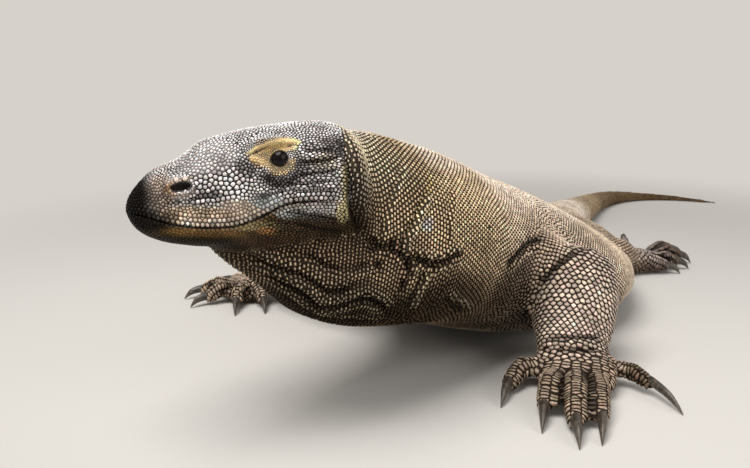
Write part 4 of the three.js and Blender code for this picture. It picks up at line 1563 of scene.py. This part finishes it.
def on_stripe(points, line, half_width):
    """How far a place is within a stripe, which narrows to its ends and has ragged edges."""
    place, along, _ = nearest_on_line(points, smooth_line(line, 3))
    width = half_width * (0.35 + 0.75 * np.sqrt(np.sin(math.pi * np.clip(along, 0.001, 0.999))))
    x, y, z = points.T
    ragged = np.sin(x * 0.9 + 2 * np.sin(z * 0.7)) + np.sin(z * 1.1 + 1.5 * np.sin(y + x * 0.6))
    return 1 - step_between(0.6, 1.3, np.linalg.norm(points - place, axis=1) / width + 0.1 * ragged)


LID_GOLD = 0.6  # the most of the lids' pale crescent


def lid_gold(in_head):
    """How much of the pale crescent below and before the eye there is at places of the head."""
    distance, to_lid, x, y = round_eye(in_head)
    pale = np.maximum(step_between(-0.5, -4.5, y), step_between(3, 8, x))
    return LID_GOLD * (distance < LID_EDGE) * pale * (1 - step_between(1.6, 2.05, to_lid))


# Where the head's hide is smoother, with paler gaps: centre, radii and how much.
SOFT_HIDE = [
    ((142, 24, 44), (46, 26, 20), 0.3),
    ((150, 38, -9), (52, 24, 13), 0.2),
    ((106, 46, -2), (30, 16, 12), 0.35),
    ((84, 52, 7), (20, 12, 9), 0.3),
    ((166, 41, 17), (20, 20, 15), 0.4),
    ((200, 16, 0), (30, 40, 34), 0.35),
]


def soft_share(in_head, labels):
    """How much of the hide is smooth, with no dark gaps: most on the brow and the lower lid."""
    head = is_part(labels, HEAD_NODES)
    share = 0.45 * is_part(labels, ["lower_jaw"]) * step_between(70, 110, in_head[:, 0])
    for centre, radii, much in SOFT_HIDE:
        share = np.maximum(share, much * head * within(in_head, centre, radii))
    for line, half_width, tint, _ in HEAD_STRIPES:
        if tint == "gold":
            share = np.maximum(share, 0.85 * head * on_stripe(in_head, line, 0.8 * half_width))
    return np.maximum(share, 0.7 * head * lid_gold(in_head))


def chosen_tints():
    return {name: np.array(getattr(settings().tints, name)) for name in TINTS}


TINT_BLEND = (6.0, 240.0)  # rounds of blending of the parts' colours, on the head and elsewhere


def part_colour(labels, web):
    """Each part's own colour at the skin's vertices, blended where parts meet."""
    tints = chosen_tints()
    colour = np.zeros((len(labels), 3))
    for index, name in enumerate(FLESH):
        colour[labels == index] = tints[PART_TINTS[kind_of(name, PART_TINTS)]]
    return diffuse(colour, web, np.where(is_part(labels, HEAD_NODES), *TINT_BLEND))


UNDERSIDE_SHADE = 0.5  # how much umber the faces that look down take: a painted shade under the body
FOLD_GOLD, FOLD_DARK = 0.8, 0.9  # the most that the folds take of cream, partly a painted highlight on their rolls, and of black, a painted shade in their grooves
HEAD_MOTTLE, BODY_MOTTLE = 0.26, 0.14  # how much the mottle changes the lightness of each
HEAD_FINER = 2.4  # how many times finer it is on the head


def hide_colour(points, normals, labels, colour):
    """The colour of a scale's crown at points of the stance frame, over its part's own colour."""
    tints = chosen_tints()
    whole_head = to_head(points)
    in_head = mirrored(whole_head)
    head = is_part(labels, HEAD_NODES)
    colour = washed(colour, in_head, head, HEAD_WASHES, HEAD_STRIPES, tints)
    colour = blended(colour, head * lid_gold(in_head), tints["gold"])
    colour = washed(colour, points, ~head, BODY_WASHES, BODY_STRIPES, tints)
    # Faces that look down are darkened with umber: painted shade under the body.
    below = ~head & (normals[:, 2] < 0)
    under = below * step_between(0.1, 0.9, -normals[:, 2]) * UNDERSIDE_SHADE
    colour = blended(colour, under, tints["umber"])
    # The folds darken their grooves with painted shade and gild their rolls, partly with painted highlight.
    _, dark, gold = fold_fields(points, normals, BODY_FOLDS)
    facing = turned(HEAD.inverted() @ STANCE, normals) * flips(whole_head)
    _, dark_head, gold_head = fold_fields(in_head, facing, HEAD_FOLDS)
    dark = np.maximum(dark, head * dark_head)
    distance, to_lid, _, _ = round_eye(in_head)
    # A dark ring round the lids' opening: partly the lids' own dark rim, partly painted shade where they
    # meet the eyeball.
    dark = np.maximum(dark, head * (distance < 16) * (1 - step_between(1.04, 1.24, to_lid)))
    # Inside the nostrils and behind the lids all is black: painted shade in the openings.
    dark = np.maximum(dark, head & openings(in_head))
    gold = np.maximum(gold, head * gold_head)
    colour = blended(colour, gold * FOLD_GOLD, tints["cream"])
    colour = blended(colour, dark * FOLD_DARK, tints["soot"])
    uneven = np.where(head, HEAD_MOTTLE * mottle(HEAD_FINER * points), BODY_MOTTLE * mottle(points))
    return colour * (1 + uneven[:, None])


def mottle(points):
    """A slow, uneven pattern between about -1 and 1, a few scales across."""
    x, y, z = points.T
    value = np.sin(x / 17 + 2.1 * np.sin(y / 29)) + np.sin(y / 21 + 1.7 * np.sin(z / 19))
    return (value + np.sin(z / 15 + 1.9 * np.sin(x / 25 + 1))) / 2


# ---- materials ------------------------------------------------------------------------------------

def node(tree, kind, options=None, inputs=None):
    """Adds one node; an input given as a node and a socket name is linked, and any other is set."""
    added = tree.nodes.new(kind)
    for key, value in (options or {}).items():
        setattr(added, key, value)
    for key, value in (inputs or {}).items():
        if isinstance(value, tuple) and isinstance(value[0], bpy.types.Node):
            tree.links.new(value[0].outputs[value[1]], added.inputs[key])
        else:
            added.inputs[key].default_value = value
    return added


def new_material(name):
    material = bpy.data.materials.new(name)
    material.use_nodes = True
    material.node_tree.nodes.clear()
    return material, material.node_tree


GAP_COLOUR = "#120b07"  # of the hide that shows between the scales: its own dark, deepened to near-black as painted shade in the crevices


def finish(tree, colour, relief, roughness, specular):
    """Joins a material's colour and relief to its surface."""
    shader = node(tree, "ShaderNodeBsdfPrincipled",
                  inputs={"Base Color": (colour, "Result"), "Normal": (relief, "Normal"),
                          "Roughness": roughness, "Specular IOR Level": specular})
    node(tree, "ShaderNodeOutputMaterial", inputs={"Surface": (shader, "BSDF")})


def scale_keratin():
    """Weathered scale keratin: a dry satin plate, darker down its flanks with painted shade toward the gaps
    between the scales.
    """
    material, tree = new_material("scale_keratin")
    tint = node(tree, "ShaderNodeAttribute", {"attribute_name": "tint"})
    crown = node(tree, "ShaderNodeAttribute", {"attribute_name": "crown"})
    place = node(tree, "ShaderNodeTexCoord")
    # Fine wear about 1.5 mm across, and grime in patches of about 12 mm.
    wear = node(tree, "ShaderNodeTexNoise",
                inputs={"Vector": (place, "Object"), "Scale": 650.0, "Detail": 3.0})
    grime = node(tree, "ShaderNodeTexNoise",
                 inputs={"Vector": (place, "Object"), "Scale": 85.0, "Detail": 4.0})
    # Down its flanks the plate turns to the gap's near-black: painted shade between the scales.
    level = node(tree, "ShaderNodeMapRange", {"interpolation_type": "SMOOTHSTEP"},
                 {"Value": (crown, "Fac"), "From Min": 0.2, "From Max": 0.85})
    # Only the crowns are rubbed smooth enough to shine.
    shine = node(tree, "ShaderNodeMapRange",
                 inputs={"Value": (crown, "Fac"), "From Min": 0.4, "From Max": 1.0,
                         "To Min": 0.04, "To Max": 0.5})
    # Dark horn holds less of the pale bloom that shines.
    bloom = node(tree, "ShaderNodeMapRange",
                 inputs={"Value": (tint, "Fac"), "From Max": 0.4, "To Min": 0.25, "To Max": 1.0})
    gloss = node(tree, "ShaderNodeMath", {"operation": "MULTIPLY"},
                 {0: (shine, "Result"), 1: (bloom, "Result")})
    worn = node(tree, "ShaderNodeMapRange",
                inputs={"Value": (wear, "Fac"), "From Min": 0.35, "From Max": 0.65,
                        "To Min": 0.72, "To Max": 1.18})
    dirty = node(tree, "ShaderNodeMapRange",
                 inputs={"Value": (grime, "Fac"), "From Min": 0.35, "From Max": 0.65,
                         "To Min": 0.75, "To Max": 1.15})
    both = node(tree, "ShaderNodeMath", {"operation": "MULTIPLY"},
                {0: (worn, "Result"), 1: (dirty, "Result")})
    toned = node(tree, "ShaderNodeVectorMath", {"operation": "SCALE"},
                 {0: (tint, "Color"), "Scale": (both, "Value")})
    colour = node(tree, "ShaderNodeMix", {"data_type": "RGBA"},
                  {"Factor": (level, "Result"), "A": linear(GAP_COLOUR), "B": (toned, "Vector")})
    ridges = node(tree, "ShaderNodeBump",
                  inputs={"Strength": 0.35, "Distance": 0.0004, "Height": (wear, "Fac")})
    finish(tree, colour, ridges, 0.4, (gloss, "Value"))
    return material


def bare_hide():
    """Bare hide between the scales: matt, dark and finely pebbled, with the scales' markings faint in it."""
    material, tree = new_material("bare_hide")
    tint = node(tree, "ShaderNodeAttribute", {"attribute_name": "tint"})
    place = node(tree, "ShaderNodeTexCoord")
    # Pebbles about 1.2 mm across.
    pebbles = node(tree, "ShaderNodeTexVoronoi", {"feature": "F1"},
                   {"Vector": (place, "Object"), "Scale": 830.0})
    edge = node(tree, "ShaderNodeMapRange",
                inputs={"Value": (pebbles, "Distance"), "From Min": 0.2, "From Max": 0.7,
                        "To Min": 0.10, "To Max": 0.02})
    # Where there are no gaps the hide shows its full colour. In the gaps it is near-black, its own dark
    # deepened by painted shade.
    soft = node(tree, "ShaderNodeAttribute", {"attribute_name": "crown"})
    share = node(tree, "ShaderNodeMath", {"operation": "MAXIMUM"},
                 {0: (edge, "Result"), 1: (soft, "Fac")})
    colour = node(tree, "ShaderNodeMix", {"data_type": "RGBA"},
                  {"Factor": (share, "Value"), "A": linear(GAP_COLOUR), "B": (tint, "Color")})
    relief = node(tree, "ShaderNodeBump", {"invert": True},
                  {"Strength": 0.6, "Distance": 0.0005, "Height": (pebbles, "Distance")})
    finish(tree, colour, relief, 0.8, 0.05)
    return material


def eye_lens():
    """The wet eyeball: dark brown iris with a round pupil, clear and mirror-smooth over both."""
    material, tree = new_material("eye_lens")
    gaze = node(tree, "ShaderNodeAttribute", {"attribute_name": "gaze"})
    place = node(tree, "ShaderNodeTexCoord")
    # Threads of the iris about 0.5 mm across.
    threads = node(tree, "ShaderNodeTexNoise",
                   inputs={"Vector": (place, "Object"), "Scale": 1800.0, "Detail": 3.0})
    iris = node(tree, "ShaderNodeValToRGB", inputs={"Fac": (threads, "Fac")})
    for element, colour in zip(iris.color_ramp.elements, ("#080504", "#1a110a")):
        element.color = linear(colour)
    # The attribute is the distance from the middle of the pupil, in millimetres along the eyeball.
    pupil = node(tree, "ShaderNodeMapRange", {"interpolation_type": "SMOOTHSTEP"},
                 {"Value": (gaze, "Fac"), "From Min": 3.4, "From Max": 3.9})
    rim = node(tree, "ShaderNodeMapRange", {"interpolation_type": "SMOOTHSTEP"},
               {"Value": (gaze, "Fac"), "From Min": 4.6, "From Max": 6.4})
    inner = node(tree, "ShaderNodeMix", {"data_type": "RGBA"},
                 {"Factor": (pupil, "Result"), "A": linear("#060404"), "B": (iris, "Color")})
    colour = node(tree, "ShaderNodeMix", {"data_type": "RGBA"},
                  {"Factor": (rim, "Result"), "A": (inner, "Result"), "B": linear("#0d0806")})
    shader = node(tree, "ShaderNodeBsdfPrincipled",
                  inputs={"Base Color": (colour, "Result"), "Roughness": 0.06, "IOR": 1.376,
                          "Specular IOR Level": 0.26})
    node(tree, "ShaderNodeOutputMaterial", inputs={"Surface": (shader, "BSDF")})
    return material


def claw_horn():
    """Claw horn: dark, half-polished keratin, darker at its root, finely grained and dusty in patches."""
    material, tree = new_material("claw_horn")
    tip = node(tree, "ShaderNodeAttribute", {"attribute_name": "crown"})
    place = node(tree, "ShaderNodeTexCoord")
    # Grain about 0.6 mm across, and dust in patches of about 5 mm.
    grain_lines = node(tree, "ShaderNodeTexNoise",
                       inputs={"Vector": (place, "Object"), "Scale": 1500.0})
    dust = node(tree, "ShaderNodeTexNoise",
                inputs={"Vector": (place, "Object"), "Scale": 220.0, "Detail": 4.0})
    along = node(tree, "ShaderNodeMix", {"data_type": "RGBA"},
                 {"Factor": (tip, "Fac"), "A": linear("#1f1a16"), "B": linear("#51493f")})
    dusty = node(tree, "ShaderNodeMapRange",
                 inputs={"Value": (dust, "Fac"), "From Min": 0.45, "From Max": 0.75, "To Max": 0.45})
    colour = node(tree, "ShaderNodeMix", {"data_type": "RGBA"},
                  {"Factor": (dusty, "Result"), "A": (along, "Result"), "B": linear("#8a7a68")})
    relief = node(tree, "ShaderNodeBump",
                  inputs={"Strength": 0.3, "Distance": 0.0003, "Height": (grain_lines, "Fac")})
    finish(tree, colour, relief, 0.38, 0.5)
    return material


PAPER_FADE = (0.55, 1.6)  # how far off the paper begins to be plain and is all plain, in metres


def studio_paper(colour):
    """Seamless studio paper: matt and plain, and as bright as the background where it is far off."""
    material, tree = new_material("studio_paper")
    place = node(tree, "ShaderNodeTexCoord")
    away = node(tree, "ShaderNodeVectorMath", {"operation": "LENGTH"}, {0: (place, "Object")})
    far = node(tree, "ShaderNodeMapRange", {"interpolation_type": "SMOOTHSTEP"},
               {"Value": (away, "Value"), "From Min": PAPER_FADE[0], "From Max": PAPER_FADE[1]})
    rays = node(tree, "ShaderNodeLightPath")
    seen = node(tree, "ShaderNodeMath", {"operation": "MULTIPLY"},
                {0: (far, "Result"), 1: (rays, "Is Camera Ray")})
    matt = node(tree, "ShaderNodeBsdfPrincipled",
                inputs={"Base Color": (*colour, 1), "Roughness": 0.9, "Specular IOR Level": 0.1})
    plain = node(tree, "ShaderNodeEmission", inputs={"Color": (*colour, 1), "Strength": 1.0})
    mix = node(tree, "ShaderNodeMixShader",
               inputs={"Fac": (seen, "Value"), 1: (matt, "BSDF"), 2: (plain, "Emission")})
    node(tree, "ShaderNodeOutputMaterial", inputs={"Surface": (mix, "Shader")})
    return material


# ---- eyes and claws -------------------------------------------------------------------------------

EYE_SIDES, EYE_RINGS = 40, 28
CORNEA_BULGE = 0.045  # how far the cornea stands out, as a share of the eyeball's radius
CORNEA_SPREAD = 5.0  # how far it spreads from the middle of the pupil


def make_eye(sign, radius):
    """An eyeball with a bulging cornea, set behind the lids and looking out along the eye's axis."""
    shape = bmesh.new()
    bmesh.ops.create_uvsphere(shape, u_segments=EYE_SIDES, v_segments=EYE_RINGS, radius=radius)
    mesh = as_mesh(shape, "eyeball_left" if sign > 0 else "eyeball_right")
    ways = unit(places_of(mesh))
    gaze = np.arccos(np.clip(ways[:, 2], -1, 1)) * radius
    bulge = 1 + CORNEA_BULGE * bump(gaze, CORNEA_SPREAD)
    right = np.cross(EYE_UP, EYE_AXIS)
    turned_ways = ways @ np.stack([right, EYE_UP, EYE_AXIS])
    points = (EYE_PLACE + radius * bulge[:, None] * turned_ways) * (1, sign, 1)
    set_places(mesh, out_of(HEAD, points))
    if sign < 0:
        mesh.flip_normals()
    add_value(mesh, "gaze", gaze)
    mesh.shade_smooth()
    return new_object(mesh.name, mesh)


TOE_RADII = {"fore_left": (13, 12, 14, 12, 11), "fore_right": (12, 12, 13, 12, 11),
             "hind_left": (12, 13, 13, 13, 11), "hind_right": (12, 13, 13, 13, 11)}
CLAW_SIDES = 14
CLAW_STEP = 2.4  # between the rings that a claw is drawn out by
CLAW_KEEL = 0.12  # how far its keel stands up, as a share of its height
CLAW_RIDGE = 0.25  # how much narrower it is along the keel
CLAW_SOLE = 0.92  # how deep its flatter underside is, as a share of a round one's depth
CLAW_LOWEST = 0.6  # how near it comes to the floor


def claw_stations(toe, radius):
    """Along a claw's middle: place, half-width, height above and depth below, root to tip."""
    knuckle, end, tip = np.array(toe[1:], float)
    root = knuckle + 0.86 * (end - knuckle)
    arch = (end + tip) / 2
    near = arch + 0.6 * (tip - arch)
    up = np.array((0, 0, 1.0))
    return smooth_line([
        (*(root + up), 0.34 * radius, 0.36 * radius, 0.36 * radius),
        (*(end + 2 * up), 0.50 * radius, 0.52 * radius, 0.54 * radius),
        (*(arch + 6 * up), 0.38 * radius, 0.44 * radius, 0.48 * radius),
        (*(near + 4 * up), 2.5, 3.0, 3.1),
        (*(tip + 0.3 * up), 0.5, 0.5, 0.5),
    ], CLAW_STEP)


def make_claw(name, toe, radius):
    """A curved horn, keeled above and flatter beneath, drawn out ring by ring."""
    stations = claw_stations(toe, radius)
    shape = bmesh.new()
    ring = bmesh.ops.create_circle(shape, cap_ends=True, segments=CLAW_SIDES, radius=1)["verts"]
    edges = list(shape.edges)
    rings = [ring]
    for _ in stations[1:]:
        drawn = bmesh.ops.extrude_edge_only(shape, edges=edges)["geom"]
        edges = [part for part in drawn if isinstance(part, bmesh.types.BMEdge)]
        ring = [part for part in drawn if isinstance(part, bmesh.types.BMVert)]
        rings.append(ring)
    bmesh.ops.holes_fill(shape, edges=edges)
    crown = {}
    last = len(stations) - 1
    for index, (ring, station) in enumerate(zip(rings, stations)):
        before, after = stations[max(index - 1, 0)], stations[min(index + 1, last)]
        way = unit(after[:3] - before[:3])
        side = unit(np.cross((0, 0, 1.0), way))
        up = np.cross(way, side)
        half_width, above, below = station[3:]
        for vert in ring:
            turn = math.atan2(vert.co.y, vert.co.x)
            x, y = math.cos(turn), math.sin(turn)
            height = above * y * (1 + CLAW_KEEL * y**6) if y > 0 else below * y * CLAW_SOLE
            beside = half_width * x * (1 - CLAW_RIDGE * max(y, 0) ** 2)
            place = station[:3] + beside * side + height * up
            place[2] = max(place[2], CLAW_LOWEST)
            vert.co = Vector(out_of(STANCE, [place])[0])
            crown[vert] = index / last
    bmesh.ops.recalc_face_normals(shape, faces=shape.faces)
    shape.verts.index_update()
    values = np.zeros(len(shape.verts))
    for vert, value in crown.items():
        values[vert.index] = value
    mesh = as_mesh(shape, name)
    add_value(mesh, "crown", values)
    mesh.shade_smooth()
    return new_object(name, mesh)


# ---- settings -------------------------------------------------------------------------------------

class KomodoSkin(bpy.types.PropertyGroup):
    """Sizes of the skin."""

    voxel: bpy.props.FloatProperty(
        name="Voxel", description="Grid that the flesh is fused on", default=0.0062,
        min=0.004, max=0.010, unit="LENGTH")
    coat_depth: bpy.props.FloatProperty(
        name="Coat depth", description="How far the skin lies inside the solid body", default=0.0012,
        min=0.0, max=0.004, unit="LENGTH")


class KomodoScales(bpy.types.PropertyGroup):
    """Sizes of the scales."""

    head_gap: bpy.props.FloatProperty(
        name="Head gap", description="Bare hide between the head's scales", default=0.00048,
        min=0.0, max=0.003, unit="LENGTH")
    body_gap: bpy.props.FloatProperty(
        name="Body gap", description="Bare hide between the body's scales", default=0.00095,
        min=0.0, max=0.003, unit="LENGTH")
    tries: bpy.props.FloatProperty(
        name="Fill tries", description="Scales thrown at the gaps, for each that would cover the body",
        default=2.5, min=0.0, max=10.0)
    seed: bpy.props.IntProperty(name="Seed", description="Start of the random numbers", default=7)


class KomodoEyes(bpy.types.PropertyGroup):
    """Sizes of the eyes."""

    radius: bpy.props.FloatProperty(
        name="Eyeball radius", description="Half the eyeball's width", default=EYEBALL * MM,
        min=0.008, max=0.010, unit="LENGTH")


def tint_property(key):
    return bpy.props.FloatVectorProperty(
        name=key.capitalize(), description=f"The {key} of the scales' crowns",
        default=linear(TINTS[key])[:3], size=3, min=0.0, max=1.0, subtype="COLOR")


class KomodoTints(bpy.types.PropertyGroup):
    """Colours of the hide."""

    __annotations__ = {key: tint_property(key) for key in TINTS}


class KomodoStage(bpy.types.PropertyGroup):
    """The floor, the light and the camera."""

    floor: bpy.props.FloatVectorProperty(
        name="Floor", description="Colour of the studio paper", default=linear("#d6d1ca")[:3],
        size=3, min=0.0, max=1.0, subtype="COLOR")
    eye_height: bpy.props.FloatProperty(
        name="Camera height", description="Height of the camera over the floor", default=0.38,
        unit="LENGTH")
    tilt: bpy.props.FloatProperty(
        name="Camera tilt", description="How far the camera looks down", default=math.radians(12.8045),
        subtype="ANGLE")
    lens: bpy.props.FloatProperty(
        name="Lens", description="Focal length of the camera on a 36 mm wide frame", default=33.6,
        unit="CAMERA")
    key_power: bpy.props.FloatProperty(
        name="Key light", description="Power of the large lamp overhead", default=50.0, unit="POWER")
    sky: bpy.props.FloatProperty(
        name="Fill", description="Strength of the even light from all round", default=0.30)


class KomodoSettings(bpy.types.PropertyGroup):
    """Everything that can be changed."""

    skin: bpy.props.PointerProperty(type=KomodoSkin)
    scales: bpy.props.PointerProperty(type=KomodoScales)
    eyes: bpy.props.PointerProperty(type=KomodoEyes)
    tints: bpy.props.PointerProperty(type=KomodoTints)
    stage: bpy.props.PointerProperty(type=KomodoStage)


# ---- operators ------------------------------------------------------------------------------------

def settings():
    return bpy.context.scene.komodo


def material_once(make):
    """A material that several pieces share, made the first time it is asked for, and named after make."""
    return bpy.data.materials.get(make.__name__) or make()


def find_skin():
    skin = bpy.data.objects.get("skin")
    if skin is None:
        raise RuntimeError("the scales need the skin: make the skin first")
    return skin


SPREAD_ROUNDS = 9  # how many times the scales move apart
CROWN_HEIGHTS = (48, 66)  # where on the head its crown begins and is in full
# How much wider the gaps are there, on the nape, on the feet and on the neck.
CROWN_GAP, NAPE_GAP, FOOT_GAP, NECK_GAP = 0.5, 0.6, 0.25, 0.3


@lru_cache(maxsize=1)
def scale_layout():
    """Every scale's root and how far it reaches each way, worked out once for all the pieces."""
    sizes = settings().scales
    roots = all_roots(find_skin(), BodyMap(), sizes.tries)
    rows = spread_out(roots, SPREAD_ROUNDS)
    labels = labels_of(rows)
    head = is_part(labels, HEAD_NODES)
    gaps = np.where(head, sizes.head_gap, sizes.body_gap) / MM
    crown = head * step_between(*CROWN_HEIGHTS, to_head(rows[:, PLACE])[:, 2])
    neck = is_part(labels, ["neck"])
    gaps *= 1 + CROWN_GAP * crown + NAPE_GAP * neck * nape_share(rows[:, PLACE])
    gaps *= 1 + FOOT_GAP * is_part(labels, FEET)
    gaps *= 1 + NECK_GAP * neck
    base = roots.colours[rows[:, VERTEX].astype(int)]
    return rows, base, outlines(rows, 8, gaps), outlines(rows, 6, gaps), roots.tree


WAIST = -0.18  # metres along the object, between the chest's scales and the loin's


def make_coat(pieces, sides):
    """Grows the scales of each named piece, from the CAD nodes that it covers and its half of them."""
    rows, base, eight, six, tree = scale_layout()
    reach = eight if sides == 8 else six
    labels = labels_of(rows)
    rng = np.random.default_rng(settings().scales.seed)
    places = out_of(STANCE, rows[:, PLACE])
    for name, (nodes, half, *front) in pieces.items():
        here = is_part(labels, nodes)
        if half:
            beside = into(HEAD, places)[:, 1] if nodes[0] in HEAD_NODES else places[:, 0]
            here &= half * beside > 0
        if front:
            here &= front[0] * (WAIST - places[:, 1]) > 0
        if not here.any():
            raise RuntimeError(f"no scale grows on {name}")
        obj = grow_scales(name, rows[here], reach[here], base[here], sides, rng, tree)
        obj.data.materials.append(material_once(scale_keratin))
        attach(obj, "root")


class KOMODO_OT_skin(bpy.types.Operator):
    """Fuse the flesh into one skin with its folds, lids, lips and nostrils"""

    bl_idname = "komodo.skin"
    bl_label = "Skin"

    def execute(self, context):
        body = BodyMap()
        obj = make_skin(settings().skin, body)
        mesh = obj.data
        places = into(STANCE, places_of(mesh))
        facing = turned(STANCE.inverted(), normals_of(mesh))
        labels = body.labels(places_of(mesh))
        tint = hide_colour(places, facing, labels, part_colour(labels, neighbours(mesh)))
        add_attributes(mesh, tint, soft_share(head_places(mesh), labels))
        mesh.materials.append(material_once(bare_hide))
        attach(obj, "root")
        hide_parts(*FLESH)
        return {"FINISHED"}


class KOMODO_OT_head_scales(bpy.types.Operator):
    """Grow the plates and granules of the head"""

    bl_idname = "komodo.head_scales"
    bl_label = "Head scales"

    def execute(self, context):
        make_coat({
            "head_scales_left": (["head"], 1),
            "head_scales_right": (["head"], -1),
            "jaw_scales": (["lower_jaw"], 0),
        }, 8)
        return {"FINISHED"}


class KOMODO_OT_body_scales(bpy.types.Operator):
    """Grow the beads of the neck and trunk and the rings of the tail"""

    bl_idname = "komodo.body_scales"
    bl_label = "Body scales"

    def execute(self, context):
        make_coat({
            "neck_scales": (["neck"], 0),
            "chest_scales_left": (["trunk"], 1, 1),
            "loin_scales_left": (["trunk"], 1, -1),
            "trunk_scales_right": (["trunk"], -1),
            "tail_base_scales": (["tail_1", "tail_2"], 0),
            "tail_end_scales": (["tail_3", "tail_4"], 0),
        }, 6)
        return {"FINISHED"}


class KOMODO_OT_leg_scales(bpy.types.Operator):
    """Grow the large scales of the legs and the bands of the toes"""

    bl_idname = "komodo.leg_scales"
    bl_label = "Leg scales"

    def execute(self, context):
        make_coat({f"{leg}_scales": (nodes_of_leg(leg), 0) for leg in LEGS}, 8)
        return {"FINISHED"}


class KOMODO_OT_eyes(bpy.types.Operator):
    """Set both eyeballs behind their lids"""

    bl_idname = "komodo.eyes"
    bl_label = "Eyes"

    def execute(self, context):
        for node_name, sign in (("eye_left", 1), ("eye_right", -1)):
            obj = make_eye(sign, settings().eyes.radius / MM)
            obj.data.materials.append(material_once(eye_lens))
            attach(obj, "root")
            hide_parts(node_name)
        return {"FINISHED"}


class KOMODO_OT_claws(bpy.types.Operator):
    """Set a curved horn on every toe"""

    bl_idname = "komodo.claws"
    bl_label = "Claws"

    def execute(self, context):
        for leg, parts in LEGS.items():
            for number, (toe, radius) in enumerate(zip(parts["toes"], TOE_RADII[leg]), 1):
                obj = make_claw(f"horn_{leg}_{number}", toe, radius)
                obj.data.materials.append(material_once(claw_horn))
                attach(obj, "root")
                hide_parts(f"claw_{leg}_{number}")
        return {"FINISHED"}


FLOOR_RADIUS = 14.0  # metres
# Soft lamps: name, place, what it faces, size and share of the key light's power. Places are in
# metres in the stance frame.
LAMPS = (
    ("key_lamp", (-0.5, 0.25, 2.1), (0.1, 1.0, 0.1), 1.3, 1.0),
    ("side_lamp", (1.7, -0.4, 1.2), (0.2, 1.0, 0.1), 1.6, 0.35),
)


def make_floor(colour):
    shape = bmesh.new()
    bmesh.ops.create_circle(shape, cap_ends=True, segments=96, radius=FLOOR_RADIUS)
    bmesh.ops.translate(shape, verts=shape.verts, vec=(0, 0, CAD_BOX[0].z))
    mesh = as_mesh(shape, "floor")
    floor = new_object("floor", mesh)
    mesh.materials.append(studio_paper(colour))


def make_lamp(name, place, target, size, power):
    """A square soft lamp at a place of the stance, in metres, that faces another."""
    lamp = bpy.data.lights.new(name, "AREA")
    lamp.size = size
    lamp.energy = power
    obj = new_object(name, lamp)
    way = Vector(target) - Vector(place)
    aim = way.to_track_quat("-Z", "Y").to_matrix().to_4x4()
    obj.matrix_world = STANCE @ Matrix.Translation(place) @ aim


def make_sky(strength, colour):
    """Even light all round, with the paper's own colour behind the object."""
    world = bpy.data.worlds.new("studio")
    world.use_nodes = True
    tree = world.node_tree
    tree.nodes.clear()
    rays = node(tree, "ShaderNodeLightPath")
    seen = node(tree, "ShaderNodeMath", {"operation": "MAXIMUM"},
                {0: (rays, "Is Camera Ray"), 1: (rays, "Is Glossy Ray")})
    light = node(tree, "ShaderNodeBackground", inputs={"Color": (1, 1, 1, 1), "Strength": strength})
    paper = node(tree, "ShaderNodeBackground", inputs={"Color": (*colour, 1), "Strength": 1.0})
    mix = node(tree, "ShaderNodeMixShader",
               inputs={"Fac": (seen, "Value"), 1: (light, "Background"), 2: (paper, "Background")})
    node(tree, "ShaderNodeOutputWorld", inputs={"Surface": (mix, "Shader")})
    bpy.context.scene.world = world


class KOMODO_OT_stage(bpy.types.Operator):
    """Lay the floor, hang the lamps and set the camera"""

    bl_idname = "komodo.stage"
    bl_label = "Stage"

    def execute(self, context):
        stage = settings().stage
        make_floor(stage.floor)
        for name, place, target, size, share in LAMPS:
            make_lamp(name, place, target, size, share * stage.key_power)
        make_sky(stage.sky, stage.floor)
        lens = bpy.data.cameras.new("camera")
        lens.sensor_width = 36
        lens.lens = stage.lens
        camera = new_object("camera", lens)
        tilt = Matrix.Rotation(math.radians(90) - stage.tilt, 4, "X")
        camera.matrix_world = STANCE @ Matrix.Translation((0, 0, stage.eye_height)) @ tilt
        context.scene.camera = camera
        context.scene.view_settings.view_transform = "Standard"
        return {"FINISHED"}


class KOMODO_PT_panel(bpy.types.Panel):
    """Lists the pieces and their settings"""

    bl_label = "Komodo"
    bl_space_type = "VIEW_3D"
    bl_region_type = "UI"
    bl_category = "Komodo"

    def draw(self, context):
        komodo = context.scene.komodo
        for title, group, keys in (
            ("Skin", komodo.skin, ("voxel", "coat_depth")),
            ("Scales", komodo.scales, ("head_gap", "body_gap", "tries", "seed")),
            ("Eyes", komodo.eyes, ("radius",)),
            ("Tints", komodo.tints, tuple(TINTS)),
            ("Stage", komodo.stage, ("floor", "eye_height", "tilt", "lens", "key_power", "sky")),
        ):
            box = self.layout.box()
            box.label(text=title)
            for key in keys:
                box.prop(group, key)
        for operator in OPERATORS:
            self.layout.operator(operator.bl_idname)


OPERATORS = (KOMODO_OT_skin, KOMODO_OT_head_scales, KOMODO_OT_body_scales, KOMODO_OT_leg_scales,
             KOMODO_OT_eyes, KOMODO_OT_claws, KOMODO_OT_stage)
CLASSES = (KomodoSkin, KomodoScales, KomodoEyes, KomodoTints, KomodoStage, KomodoSettings,
           *OPERATORS, KOMODO_PT_panel)


def register():
    for cls in CLASSES:
        bpy.utils.register_class(cls)
    bpy.types.Scene.komodo = bpy.props.PointerProperty(type=KomodoSettings)


def unregister():
    del bpy.types.Scene.komodo
    for cls in reversed(CLASSES):
        bpy.utils.unregister_class(cls)


def main():
    register()
    bpy.ops.komodo.skin()
    bpy.ops.komodo.head_scales()
    bpy.ops.komodo.body_scales()
    bpy.ops.komodo.leg_scales()
    bpy.ops.komodo.eyes()
    bpy.ops.komodo.claws()
    bpy.ops.komodo.stage()


if __name__ == "__main__":
    main()
